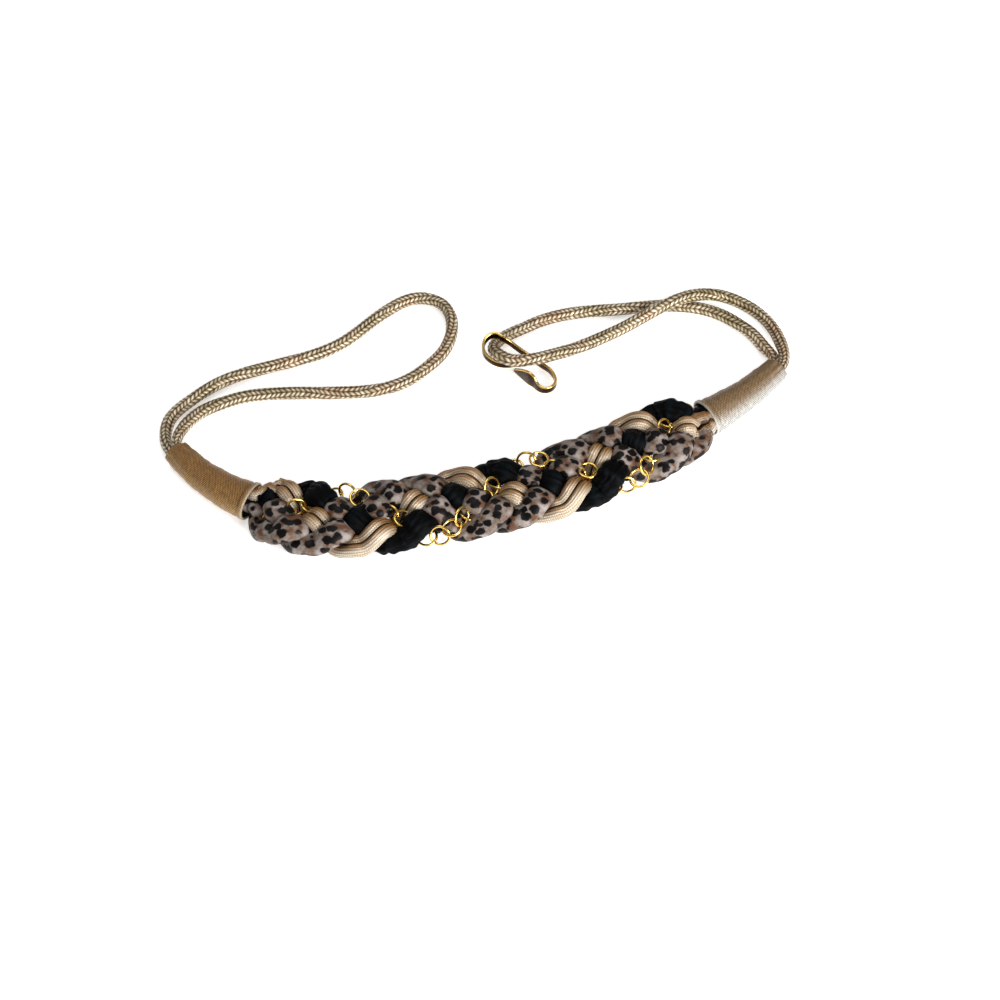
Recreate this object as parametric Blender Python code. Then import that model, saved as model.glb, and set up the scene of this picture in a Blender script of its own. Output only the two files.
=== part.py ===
"""A waist belt: a flat plait of five strands, two of them leopard cloth tubes, one a black cloth
tube, one a pair of champagne cords and one a gold chain. A tapered knitted sleeve gathers the
strands at each end, a doubled braided cord makes a loop beyond each sleeve, and a gold strip hook
rides on the right loop. The belt lies on a flat surface. Metres, +Z up."""

from math import radians, tau

import bmesh
import bpy
import numpy as np
from mathutils import Matrix, Vector

# Plait, measured along its middle line
PLAIT_LENGTH = 0.256
PLAIT_WIDTH = 0.0445
PLAIT_MIDDLE_HEIGHT = 0.0098
PLAIT_PERIOD = 0.102
TUCK = 0.008
TAPER_LENGTH = 0.024
PLAIT_PLACE = (0.0012, -0.0372)

# Cloth tubes, pair of ribbed cords, and links
TUBE_WIDTH = 0.0156
TUBE_THICKNESS = 0.0096
RIB_CORD_DIAMETER = 0.0064
RIB_CORD_APART = 0.0054
LINK_DIAMETER = 0.0105
LINK_WIRE = 0.0017
LINK_BITE = 0.0004

# Sleeves
SLEEVE_LENGTH = 0.0545
MOUTH_WIDTH = 0.0215
MOUTH_HEIGHT = 0.0165
THROAT_WIDTH = 0.0138
THROAT_HEIGHT = 0.0136
SLEEVE_WALL = 0.0012
LEFT_SLEEVE_TURN = radians(27)
RIGHT_SLEEVE_TURN = radians(17)

# Loops of cord, and the hook
CORD_DIAMETER = 0.007
CORD_PINCH = 0.73
PINCH_LENGTH = 0.008
HOOK_LENGTH = 0.050
HOOK_THICKNESS = 0.0015
HOOK_PLACE = (0.0214, 0.0588)
HOOK_HEADING = radians(-33)

# Clearances, and how far cloth and cord give where they are pressed
CLOTH_GAP = 0.0006
LINK_GAP = 0.0006
SLEEVE_GAP = 0.0006
MOUTH_FLARE = 0.9
TUBE_CORE = 0.0026
LEAST_RADIUS = 0.0008
LEAST_SHARE = 0.12
GATHERED_SHARE = 0.55
WAVE_SHOULDER = 0.1

# Fineness of the meshes
AXIS_STEP = 0.001
AXIS_STRIDE = 2
LINE_STEP = 0.0013
SMOOTHING = 3
POINT_BLOCK = 4000
TUBE_STEP = 0.0073
TUBE_SIDES = 8
RAY_STEPS = 26
RELIEF_ROUNDS = 7
SPACING_ROUNDS = 30
RELIEF_GRID = 4
LINK_SIDES = 10
WIRE_SIDES = 5
SLEEVE_SIDES = 16
SLEEVE_STATIONS = 6
CORD_STEP = 0.020
CORD_TURN = radians(32)

# Middle line of the plait as it lies: shares of the plait's length, along X and along Y
PLAIT_LINE = (
    (-0.472, -0.010),
    (-0.368, -0.050),
    (-0.267, -0.059),
    (-0.167, -0.045),
    (-0.066, -0.025),
    (0.035, 0.000),
    (0.138, 0.033),
    (0.241, 0.077),
    (0.347, 0.133),
    (0.468, 0.206),
)

# Plait's spread near its ends: share of the taper's length, share of full width, share of full rise
SPREAD = (
    (-1.0, 0.30, 0.55),
    (0.0, 0.46, 0.70),
    (0.5, 0.78, 0.90),
    (1.0, 1.00, 1.00),
)

# A strand's rise over one period: share of the period, height as a share of its lift
RISE = (
    (0.0, 0.0),
    (0.1, 1.0),
    (0.2, -1.0),
    (0.3, 1.0),
    (0.4, -1.0),
    (0.5, 0.0),
    (0.6, 1.0),
    (0.7, -1.0),
    (0.8, 1.0),
    (0.9, -1.0),
    (1.0, 0.0),
)

# Strands in the order in which they reach the plait's far edge:
# name, share of the period at which it does so, lift above and below the middle as a share of a
# tube's thickness, share of its spread that it keeps in the sleeves' mouths, share of the tuck that
# it runs into them
STRANDS = (
    ("champagne_cord_strand", 0.07, 0.60, 1.0, 1.0),
    ("black_strand", 0.27, 0.53, 1.0, 1.0),
    ("gold_chain", 0.47, 0.50, 0.5, -0.1),
    ("leopard_strand_1", 0.67, 0.53, 1.0, 1.0),
    ("leopard_strand_2", 0.87, 0.53, 1.0, 1.0),
)

# Sleeve from mouth to throat: share of its length, share of the way from mouth size to throat size
SLEEVE_ROWS = (
    (0.0, -0.03),
    (0.06, 0.06),
    (0.3, 0.34),
    (0.6, 0.64),
    (0.85, 0.84),
    (1.0, 1.0),
)

# Hook from the end of its eye to its leaf tip, in shares of its length:
# along its heading, to the left of it, height of its lower edge, height of its upper edge
HOOK_ROWS = (
    (0.032, 0.058, 0.004, 0.100),
    (-0.067, -0.075, 0.004, 0.100),
    (-0.179, -0.147, 0.004, 0.100),
    (-0.301, -0.162, 0.016, 0.112),
    (-0.384, -0.147, 0.052, 0.152),
    (-0.428, -0.105, 0.088, 0.188),
    (-0.446, -0.047, 0.120, 0.220),
    (-0.429, 0.024, 0.150, 0.246),
    (-0.379, 0.069, 0.162, 0.258),
    (-0.298, 0.077, 0.158, 0.254),
    (-0.193, 0.099, 0.104, 0.200),
    (-0.068, 0.111, 0.048, 0.144),
    (0.057, 0.114, 0.016, 0.112),
    (0.229, 0.092, 0.006, 0.104),
    (0.314, 0.076, 0.016, 0.112),
    (0.416, 0.028, 0.022, 0.116),
    (0.483, -0.042, 0.024, 0.120),
    (0.494, -0.127, 0.024, 0.120),
    (0.441, -0.198, 0.020, 0.120),
    (0.351, -0.203, 0.008, 0.140),
    (0.295, -0.185, 0.003, 0.196),
    (0.233, -0.179, 0.003, 0.220),
    (0.146, -0.159, 0.004, 0.184),
    (0.058, -0.137, 0.012, 0.120),
    (0.000, -0.125, 0.024, 0.072),
)

# Routes of the two loops of cord, chosen by hand: from inside the sleeve's throat, round, and back in
LEFT_LOOP = (
    (-0.1587, -0.0136, 0.0047),
    (-0.1633, -0.0082, 0.0047),
    (-0.1654, -0.0055, 0.0047),
    (-0.1689, 0.0013, 0.0043),
    (-0.1701, 0.0093, 0.0038),
    (-0.1691, 0.0173, 0.0036),
    (-0.1651, 0.0243, 0.0036),
    (-0.1591, 0.0308, 0.0036),
    (-0.1511, 0.0383, 0.0036),
    (-0.1411, 0.0453, 0.0036),
    (-0.1291, 0.0508, 0.0036),
    (-0.1161, 0.0553, 0.0036),
    (-0.1011, 0.0603, 0.0036),
    (-0.0891, 0.0653, 0.0036),
    (-0.0781, 0.0723, 0.0036),
    (-0.0691, 0.0808, 0.0036),
    (-0.0591, 0.0913, 0.0036),
    (-0.0501, 0.0993, 0.0036),
    (-0.0401, 0.1048, 0.0036),
    (-0.0311, 0.1048, 0.0036),
    (-0.0231, 0.1008, 0.0036),
    (-0.0186, 0.0933, 0.0036),
    (-0.0171, 0.0843, 0.0036),
    (-0.0186, 0.0733, 0.0036),
    (-0.0231, 0.0633, 0.0036),
    (-0.0301, 0.0548, 0.0036),
    (-0.0381, 0.0473, 0.0036),
    (-0.0471, 0.0418, 0.0036),
    (-0.0581, 0.0383, 0.0036),
    (-0.0721, 0.0368, 0.0036),
    (-0.0851, 0.0363, 0.0036),
    (-0.1001, 0.0363, 0.0036),
    (-0.1141, 0.0358, 0.0036),
    (-0.1241, 0.0348, 0.0036),
    (-0.1341, 0.0323, 0.0036),
    (-0.1431, 0.0283, 0.0038),
    (-0.1511, 0.0233, 0.0044),
    (-0.1571, 0.0163, 0.0056),
    (-0.1609, 0.0083, 0.0071),
    (-0.1623, 0.0023, 0.0082),
    (-0.1619, -0.0035, 0.0086),
    (-0.1603, -0.0058, 0.0086),
    (-0.1559, -0.0110, 0.0086),
)
RIGHT_LOOP = (
    (0.1588, 0.0435, 0.0086),
    (0.1635, 0.0487, 0.0086),
    (0.1652, 0.0511, 0.0086),
    (0.1671, 0.0573, 0.0080),
    (0.1666, 0.0693, 0.0062),
    (0.1629, 0.0833, 0.0043),
    (0.1559, 0.0943, 0.0037),
    (0.1469, 0.1013, 0.0043),
    (0.1359, 0.1048, 0.0062),
    (0.1239, 0.1033, 0.0092),
    (0.1129, 0.0988, 0.0112),
    (0.1009, 0.0933, 0.0098),
    (0.0889, 0.0878, 0.0062),
    (0.0779, 0.0818, 0.0041),
    (0.0679, 0.0763, 0.0037),
    (0.0579, 0.0703, 0.0044),
    (0.0489, 0.0648, 0.0062),
    (0.0399, 0.0598, 0.0084),
    (0.0319, 0.0563, 0.0095),
    (0.0239, 0.0548, 0.0094),
    (0.0159, 0.0548, 0.0094),
    (0.0094, 0.0588, 0.0092),
    (0.0064, 0.0658, 0.0060),
    (0.0089, 0.0733, 0.0037),
    (0.0159, 0.0788, 0.0036),
    (0.0239, 0.0833, 0.0036),
    (0.0309, 0.0873, 0.0036),
    (0.0399, 0.0911, 0.0036),
    (0.0499, 0.0938, 0.0036),
    (0.0589, 0.0953, 0.0036),
    (0.0759, 0.0968, 0.0036),
    (0.0919, 0.0988, 0.0036),
    (0.1039, 0.0998, 0.0036),
    (0.1149, 0.0993, 0.0036),
    (0.1259, 0.0968, 0.0036),
    (0.1359, 0.0923, 0.0036),
    (0.1439, 0.0863, 0.0036),
    (0.1519, 0.0783, 0.0036),
    (0.1579, 0.0683, 0.0037),
    (0.1624, 0.0603, 0.0041),
    (0.1621, 0.0535, 0.0046),
    (0.1607, 0.0512, 0.0047),
    (0.1560, 0.0461, 0.0047),
)


def linear(hex_colour):
    """An sRGB hex colour as linear red, green, blue and full alpha."""
    shares = [int(hex_colour[i : i + 2], 16) / 255 for i in (0, 2, 4)]
    return [c / 12.92 if c <= 0.04045 else ((c + 0.055) / 1.055) ** 2.4 for c in shares] + [1.0]


def make_material(name, hex_colour, roughness, metallic):
    material = bpy.data.materials.new(name)
    material.use_nodes = True
    shader = material.node_tree.nodes["Principled BSDF"]
    shader.inputs["Base Color"].default_value = linear(hex_colour)
    shader.inputs["Roughness"].default_value = roughness
    shader.inputs["Metallic"].default_value = metallic
    return material


def normalised(vectors):
    return vectors / np.linalg.norm(vectors, axis=-1, keepdims=True)


def lengths_along(points):
    """Distance of each point from the first, along the line."""
    return np.concatenate([[0.0], np.cumsum(np.linalg.norm(np.diff(points, axis=0), axis=1))])


def smooth_curve(points, step):
    """Points a step apart on the natural cubic spline through the given ones."""
    points = np.array(points, float)
    knots = lengths_along(points)
    spans = np.diff(knots)
    count = len(points)
    system = np.eye(count)
    wanted = np.zeros_like(points)
    slopes = np.diff(points, axis=0) / spans[:, None]
    for i in range(1, count - 1):
        system[i, i - 1 : i + 2] = spans[i - 1], 2 * (spans[i - 1] + spans[i]), spans[i]
        wanted[i] = 6 * (slopes[i] - slopes[i - 1])
    bends = np.linalg.solve(system, wanted)
    places = np.linspace(0, knots[-1], int(knots[-1] / step) * 4)
    span = np.clip(np.searchsorted(knots, places) - 1, 0, count - 2)
    left = (places - knots[span])[:, None]
    right = (knots[span + 1] - places)[:, None]
    width = spans[span][:, None]
    fine = (
        (bends[span] * right**3 + bends[span + 1] * left**3) / (6 * width)
        + (points[span] / width - bends[span] * width / 6) * right
        + (points[span + 1] / width - bends[span + 1] * width / 6) * left
    )
    return resampled(fine, step)


def resampled(points, step):
    """The same line with points evenly spaced, about a step apart."""
    along = lengths_along(points)
    places = np.linspace(0, along[-1], max(int(round(along[-1] / step)), 2) + 1)
    return np.stack([np.interp(places, along, points[:, i]) for i in range(points.shape[1])], axis=1)


def belt_axis():
    """The belt's middle line in plan: plait, with both sleeves' arcs carried on from its ends.

    It returns the distance from the plait's left end, the points and the leftward normals."""
    plait = smooth_curve(np.array(PLAIT_LINE) * PLAIT_LENGTH, AXIS_STEP)
    plait = plait * PLAIT_LENGTH / lengths_along(plait)[-1] + np.array(PLAIT_PLACE)
    steps = int(round(SLEEVE_LENGTH / AXIS_STEP))
    stride = SLEEVE_LENGTH / steps

    def arc(start, before, turn):
        heading = np.arctan2(*(start - before)[::-1])
        turns = heading + turn * (np.arange(steps) + 0.5) / steps
        return start + np.cumsum(stride * np.stack([np.cos(turns), np.sin(turns)], axis=1), axis=0)

    left = arc(plait[0], plait[1], -LEFT_SLEEVE_TURN)[::-1]
    right = arc(plait[-1], plait[-2], RIGHT_SLEEVE_TURN)
    points = np.concatenate([left, plait, right])
    stations = lengths_along(points) - SLEEVE_LENGTH
    ahead = normalised(np.gradient(points, axis=0))
    return stations, points, np.stack([-ahead[:, 1], ahead[:, 0]], axis=1)


STATIONS, AXIS, LEFTWARD = belt_axis()


def place(station, aside, height):
    """World points at distances along the belt, to the left of its middle line, and up."""
    middle = np.stack([np.interp(station, STATIONS, AXIS[:, i]) for i in (0, 1)], axis=-1)
    to_left = np.stack([np.interp(station, STATIONS, LEFTWARD[:, i]) for i in (0, 1)], axis=-1)
    flat = middle + np.multiply(np.asarray(aside)[..., None], to_left)
    return np.concatenate([flat, np.broadcast_to(height, flat.shape[:1])[:, None]], axis=1)


def sleeve_size(depth):
    """Half width and half height of a sleeve's outside at a depth from its mouth."""
    rows = np.array(SLEEVE_ROWS)
    share = np.interp(depth / SLEEVE_LENGTH, rows[:, 0], rows[:, 1])
    wide = MOUTH_WIDTH + share * (THROAT_WIDTH - MOUTH_WIDTH)
    high = MOUTH_HEIGHT + share * (THROAT_HEIGHT - MOUTH_HEIGHT)
    return wide / 2, high / 2


def depth_in_sleeve(station):
    """How far a station lies past the nearer end of the plait; negative between the sleeves."""
    return np.maximum(-station, station - PLAIT_LENGTH)


def middle_height(station):
    """Height of the strands' middle: the plait's own, easing into the sleeve's."""
    share = np.clip(1 + depth_in_sleeve(station) / TAPER_LENGTH, 0, 1)
    return PLAIT_MIDDLE_HEIGHT + share * (MOUTH_HEIGHT / 2 - PLAIT_MIDDLE_HEIGHT)


def strand_line(phase, lift, gather, tuck, breadth):
    """A strand's middle line from one tuck to the other, and its squeeze towards the ends."""
    stations = np.arange(-tuck, PLAIT_LENGTH + tuck, AXIS_STEP)
    turn = (stations / PLAIT_PERIOD - phase) % 1.0
    rows = np.array(SPREAD)
    inwards = -depth_in_sleeve(stations) / TAPER_LENGTH
    spread = np.interp(inwards, rows[:, 0], rows[:, 1])
    kept = gather + (1 - gather) * np.clip(inwards, 0, 1)
    rising = np.interp(inwards, rows[:, 0], rows[:, 2])
    wave = np.cos(tau * turn) + WAVE_SHOULDER * np.cos(3 * tau * turn)
    keys = np.array(RISE)
    key = np.clip((turn * 10).astype(int), 0, 9)
    ease = 0.5 - 0.5 * np.cos(np.pi * (turn * 10 - key))
    rise = keys[key, 1] + ease * (keys[key + 1, 1] - keys[key, 1])
    aside = wave / (1 + WAVE_SHOULDER) * spread * kept * (PLAIT_WIDTH - breadth) / 2
    height = middle_height(stations) + rise * rising * kept * lift
    line = place(stations, aside, height)
    even = resampled(line, LINE_STEP)
    size = GATHERED_SHARE + (1 - GATHERED_SHARE) * spread
    return even, np.interp(lengths_along(even), lengths_along(line), size)


def sleeve_room(points):
    """Where points lie across the nearer sleeve's inside, and that inside's half sizes there.

    Outside the mouth the room flares, so that the strands bend into the sleeve softly."""
    gaps = ((points[:, None, :2] - AXIS[None, ::AXIS_STRIDE]) ** 2).sum(axis=2)
    near = gaps.argmin(axis=1) * AXIS_STRIDE
    depth = depth_in_sleeve(STATIONS[near])
    wide, high = sleeve_size(np.maximum(depth, 0))
    flare = MOUTH_FLARE * np.maximum(-depth, 0) - SLEEVE_WALL - SLEEVE_GAP
    aside = ((points[:, :2] - AXIS[near]) * LEFTWARD[near]).sum(axis=1)
    return near, aside, points[:, 2] - high, wide + flare, high + flare


def drawn_in(line, radius):
    """A line moved in wherever it would run closer than a radius to a sleeve's inside."""
    near, aside, up, wide, high = sleeve_room(line)
    share = np.maximum(np.hypot(aside / (wide - radius), up / (high - radius)), 1)
    moved = line.copy()
    moved[:, :2] -= (aside * (1 - 1 / share))[:, None] * LEFTWARD[near]
    moved[:, 2] -= up * (1 - 1 / share)
    return moved


def core(name):
    """The least radius that a strand keeps where others press on it."""
    return LINK_DIAMETER / 2 - LINK_WIRE / 2 if name == "gold_chain" else TUBE_CORE


def spaced(lines):
    """The strands' lines, pushed apart wherever two of them run closer than their cores allow."""
    names = list(lines)
    for _ in range(SPACING_ROUNDS):
        moves = {name: np.zeros_like(lines[name][0]) for name in names}
        for first in names:
            for second in names:
                if first == second:
                    continue
                own, other = lines[first][0], lines[second][0]
                apart = own[:, None, :] - other[None, :, :]
                gaps = np.linalg.norm(apart, axis=2)
                near = gaps.argmin(axis=1)
                rows = np.arange(len(own))
                gap = gaps[rows, near]
                short = np.maximum(core(first) + core(second) - gap, 0) / 2
                moves[first] += apart[rows, near] * (short / np.maximum(gap, 1e-6))[:, None]
        for name in names:
            move = moves[name]
            for _ in range(SMOOTHING):
                move[1:-1] = (move[:-2] + 2 * move[1:-1] + move[2:]) / 4
            line = lines[name][0] + move
            line = drawn_in(line, core(name))
            line[:, 2] = np.maximum(line[:, 2], core(name))
            lines[name] = (line, lines[name][1])
    return lines


def frames(line):
    """Forward, sideways and upward directions along a line; sideways is level."""
    forward = normalised(np.gradient(line, axis=0))
    sideways = normalised(np.cross(forward, (0.0, 0.0, 1.0)))
    return forward, sideways, np.cross(sideways, forward)


def link_places(line):
    """Centres and normals of the chain's links, each turned a quarter from the one before."""
    ring = (LINK_DIAMETER - LINK_WIRE) / 2
    pitch = 2 * ring - LINK_WIRE + LINK_BITE
    picked = [int(round((ring + LINK_WIRE) / LINE_STEP))]
    for i in range(picked[0], len(line)):
        if np.linalg.norm(line[i] - line[picked[-1]]) >= pitch:
            picked.append(i)
    centres = line[picked]
    along = normalised(np.gradient(centres, axis=0))
    level = normalised(np.cross(along, (0.0, 0.0, 1.0)))
    up = np.cross(level, along)
    side = np.where(np.arange(len(centres)) % 2, 1.0, -1.0)[:, None]
    return centres, along, normalised(up + side * level)


def tube_outline(name, angles):
    """Free half sizes and the free radius of a strand at angles round its line."""
    if name == "champagne_cord_strand":
        apart = RIB_CORD_APART / 2
        radius = RIB_CORD_DIAMETER / 2
        across = np.abs(np.cos(angles))
        reach = apart * across + np.sqrt(radius**2 - (apart * np.sin(angles)) ** 2)
        return apart + radius, radius, reach
    wide, high = TUBE_WIDTH / 2, TUBE_THICKNESS / 2
    reach = wide * high / np.sqrt((high * np.cos(angles)) ** 2 + (wide * np.sin(angles)) ** 2)
    return wide, high, reach


def half_sizes(name):
    if name == "gold_chain":
        return LINK_DIAMETER / 2, LINK_DIAMETER / 2
    return tube_outline(name, np.zeros(1))[:2]


def shares_from(points, line, squeeze, sizes):
    """Distance of points from a strand's line, as a share of its half size in that direction."""
    _, sideways, upward = frames(line)
    best = np.empty(len(points), int)
    for first in range(0, len(points), POINT_BLOCK):
        block = points[first : first + POINT_BLOCK]
        gaps = ((block[:, None, :] - line[None, :, :]) ** 2).sum(axis=2)
        best[first : first + POINT_BLOCK] = gaps.argmin(axis=1)
    away = points - line[best]
    wide = (away * sideways[best]).sum(axis=1) / sizes[0]
    high = (away * upward[best]).sum(axis=1) / sizes[1]
    return np.hypot(wide, high) / squeeze[best]


def outside_amount(points, name, lines, links):
    """How far points are past what holds a strand in: neighbours, links, sleeve and floor."""
    own = half_sizes(name)
    own_share = shares_from(points, *lines[name], own)
    past = -points[:, 2]
    for other, (line, squeeze) in lines.items():
        if other == name:
            continue
        sizes = half_sizes(other)
        slope = 1 / own[1] + 1 / sizes[1]
        share = shares_from(points, line, squeeze, sizes)
        past = np.maximum(past, (own_share - share) / slope + CLOTH_GAP / 2)
    ring = (LINK_DIAMETER - LINK_WIRE) / 2
    for centre, _, normal in zip(*links):
        away = points - centre
        off = np.abs(away @ normal)
        out = np.sqrt(np.maximum((away**2).sum(axis=1) - off**2, 0))
        reach = np.hypot(np.maximum(out - ring, 0), off) - LINK_WIRE / 2
        past = np.maximum(past, LINK_GAP - reach)
    _, aside, up, wide, high = sleeve_room(points)
    return np.maximum(past, (np.hypot(aside / wide, up / high) - 1) * high)


def strand_rings(name, lines, links):
    """Rings of points round a soft strand, pressed flat where its neighbours hold it."""
    line, squeeze = lines[name]
    count = int(round(len(line) * LINE_STEP / TUBE_STEP))
    picked = np.linspace(0, len(line) - 1, count).round().astype(int)
    _, sideways, upward = (part[picked] for part in frames(line))
    angles = (np.arange(TUBE_SIDES) + 0.5) * tau / TUBE_SIDES
    rays = (
        np.cos(angles)[None, :, None] * sideways[:, None, :]
        + np.sin(angles)[None, :, None] * upward[:, None, :]
    )
    full = tube_outline(name, angles)[2][None, :] * squeeze[picked][:, None]
    shares = np.linspace(0, 1, RAY_STEPS)
    points = line[picked][:, None, None, :] + (
        rays[:, :, None, :] * full[:, :, None, None] * shares[None, None, :, None]
    )
    past = outside_amount(points.reshape(-1, 3), name, lines, links).reshape(points.shape[:3])
    held = (past > 0).any(axis=2)
    first = np.clip((past > 0).argmax(axis=2), 1, RAY_STEPS - 1)
    rows, columns = np.indices(first.shape)
    after = past[rows, columns, first]
    before = np.minimum(past[rows, columns, first - 1], 0)
    share = shares[first - 1] + (shares[1] - shares[0]) * before / np.minimum(before - after, -1e-9)
    radius = full * np.where(held, np.clip(share, LEAST_SHARE, 1), 1.0)
    eased = (np.roll(radius, 1, axis=1) + 2 * radius + np.roll(radius, -1, axis=1)) / 4
    eased[1:-1] = (eased[:-2] + 2 * eased[1:-1] + eased[2:]) / 4
    radius = np.minimum(radius, eased)
    return relieved(name, line[picked], rays, radius, lines, links)


def relieved(name, middles, rays, radius, lines, links):
    """The rings, drawn in wherever a face between their points would still press on something."""
    shares = np.arange(RELIEF_GRID) / RELIEF_GRID
    for _ in range(RELIEF_ROUNDS):
        points = middles[:, None, :] + rays * radius[:, :, None]
        beside = np.roll(points, -1, axis=1)
        give = np.zeros_like(radius)
        for round_share in shares:
            ring = points * (1 - round_share) + beside * round_share
            for along_share in shares:
                patch = ring[:-1] * (1 - along_share) + ring[1:] * along_share
                past = outside_amount(patch.reshape(-1, 3), name, lines, links)
                past = np.maximum(past, 0).reshape(patch.shape[:2])
                if round_share:
                    past = np.maximum(past, np.roll(past, 1, axis=1))
                give[:-1] = np.maximum(give[:-1], past)
                if along_share:
                    give[1:] = np.maximum(give[1:], past)
        radius = np.maximum(radius - give, LEAST_RADIUS)
    return middles[:, None, :] + rays * radius[:, :, None]


def skin(rings, loop=False):
    """A closed mesh over rings of points; the rings close on themselves where loop is set."""
    rows, sides = len(rings), len(rings[0])
    mesh = bmesh.new()
    down = rows if loop else rows - 1
    made = bmesh.ops.create_grid(mesh, x_segments=down, y_segments=sides, size=1.0)["verts"]
    for vert in made:
        row = int(round((vert.co.x + 1) / 2 * down)) % rows
        side = int(round((vert.co.y + 1) / 2 * sides)) % sides
        vert.co = rings[row][side]
    bmesh.ops.remove_doubles(mesh, verts=mesh.verts, dist=1e-6)
    if not loop:
        bmesh.ops.holes_fill(mesh, edges=[edge for edge in mesh.edges if edge.is_boundary])
    bmesh.ops.recalc_face_normals(mesh, faces=mesh.faces)
    return mesh


def add_object(name, mesh, material, crease_angle=50):
    data = bpy.data.meshes.new(name)
    mesh.to_mesh(data)
    mesh.free()
    data.shade_smooth()
    data.set_sharp_from_angle(angle=radians(crease_angle))
    data.materials.append(material)
    made = bpy.data.objects.new(name, data)
    bpy.context.scene.collection.objects.link(made)
    return made


def link_mesh(centres, along, normals):
    """Round links of bent wire, each in its own place, in one mesh."""
    joined = bmesh.new()
    ring = (LINK_DIAMETER - LINK_WIRE) / 2
    for centre, ahead, normal in zip(centres, along, normals):
        across = np.cross(normal, ahead)
        stand = Matrix([*zip(ahead, across, normal, centre), (0, 0, 0, 1)])
        wire = bmesh.ops.create_circle(joined, segments=WIRE_SIDES, radius=LINK_WIRE / 2)["verts"]
        bmesh.ops.rotate(joined, verts=wire, matrix=Matrix.Rotation(tau / 4, 3, "X"))
        bmesh.ops.translate(joined, verts=wire, vec=(ring, 0, 0))
        loop = list({edge for vert in wire for edge in vert.link_edges})
        before = set(joined.verts) - set(wire)
        bmesh.ops.spin(
            joined, geom=wire + loop, axis=(0, 0, 1), cent=(0, 0, 0), dvec=(0, 0, 0),
            angle=tau, steps=LINK_SIDES, use_merge=True,
        )
        turned = [vert for vert in joined.verts if vert not in before]
        bmesh.ops.transform(joined, matrix=stand, verts=turned)
    bmesh.ops.recalc_face_normals(joined, faces=joined.faces)
    return joined


def add_chain(links, material):
    """The chain as one body: every other link, joined by a union with the links between."""
    chain = add_object("gold_chain", link_mesh(*(part[::2] for part in links)), material)
    between = add_object("links_between", link_mesh(*(part[1::2] for part in links)), material)
    between.hide_render = True
    between.display_type = "WIRE"
    union = chain.modifiers.new("links_between", "BOOLEAN")
    union.operation = "UNION"
    union.object = between
    return chain


def add_sleeve(name, end, material):
    """A hollow tapered sleeve, flat along the line on which it rests; end is 0 left, 1 right."""
    depths = np.linspace(0, SLEEVE_LENGTH, SLEEVE_STATIONS)
    angles = -tau / 4 + (np.arange(SLEEVE_SIDES) + 0.5) * tau / SLEEVE_SIDES

    def rings(wall):
        rows = []
        for depth in depths:
            wide, high = sleeve_size(depth)
            station = np.full(SLEEVE_SIDES, PLAIT_LENGTH + depth if end else -depth)
            height = (high - wall) * np.sin(angles) - high * np.sin(angles[0])
            rows.append(place(station, (wide - wall) * np.cos(angles), height))
        return rows

    return add_object(name, skin(rings(0.0) + rings(SLEEVE_WALL)[::-1], loop=True), material)


def add_cord(name, route, material):
    """A braided cord on a smooth route, its points closer where it bends, pinched in the throat."""
    fine = smooth_curve(route, AXIS_STEP)
    forward = normalised(np.gradient(fine, axis=0))
    turning = np.linalg.norm(np.gradient(forward, axis=0), axis=1)
    cost = np.concatenate([[0], np.cumsum(AXIS_STEP / CORD_STEP + turning / CORD_TURN)[:-1]])
    count = int(round(cost[-1])) + 1
    along = np.interp(np.linspace(0, cost[-1], count), cost, lengths_along(fine))
    lengths = lengths_along(fine)
    curve = bpy.data.curves.new(name, "CURVE")
    curve.dimensions = "3D"
    curve.bevel_depth = CORD_DIAMETER / 2
    curve.bevel_resolution = 2
    curve.use_fill_caps = True
    spline = curve.splines.new("POLY")
    spline.points.add(count - 1)
    for point, here in zip(spline.points, along):
        point.co = [*(np.interp(here, lengths, fine[:, i]) for i in range(3)), 1.0]
        from_end = min(here, lengths[-1] - here)
        swelling = min(max((from_end - PINCH_LENGTH) / CORD_STEP, 0), 1)
        point.radius = CORD_PINCH + (1 - CORD_PINCH) * swelling
    spline.use_smooth = True
    curve.materials.append(material)
    made = bpy.data.objects.new(name, curve)
    bpy.context.scene.collection.objects.link(made)
    return made


def add_hook(material):
    """The strip hook: its eye, straight back, round bend and flared leaf tip, standing on edge."""
    rows = smooth_curve(np.array(HOOK_ROWS) * HOOK_LENGTH, HOOK_LENGTH / 18)
    ahead = normalised(np.gradient(rows[:, :2], axis=0))
    turn = np.array([[np.cos(HOOK_HEADING), np.sin(HOOK_HEADING)],
                     [-np.sin(HOOK_HEADING), np.cos(HOOK_HEADING)]])
    half = HOOK_THICKNESS / 2
    edge = HOOK_THICKNESS / 4
    rings = []
    for (along, aside, low, high), (east, north) in zip(rows, ahead):
        outline = (
            (-half, low + edge), (-half, high - edge), (-edge, high), (edge, high),
            (half, high - edge), (half, low + edge), (edge, low), (-edge, low),
        )
        flat = [np.array((along - north * off, aside + east * off)) @ turn for off, _ in outline]
        rings.append([(*(spot + HOOK_PLACE), up) for spot, (_, up) in zip(flat, outline)])
    return add_object("hook", skin(rings), material, crease_angle=35)


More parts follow.
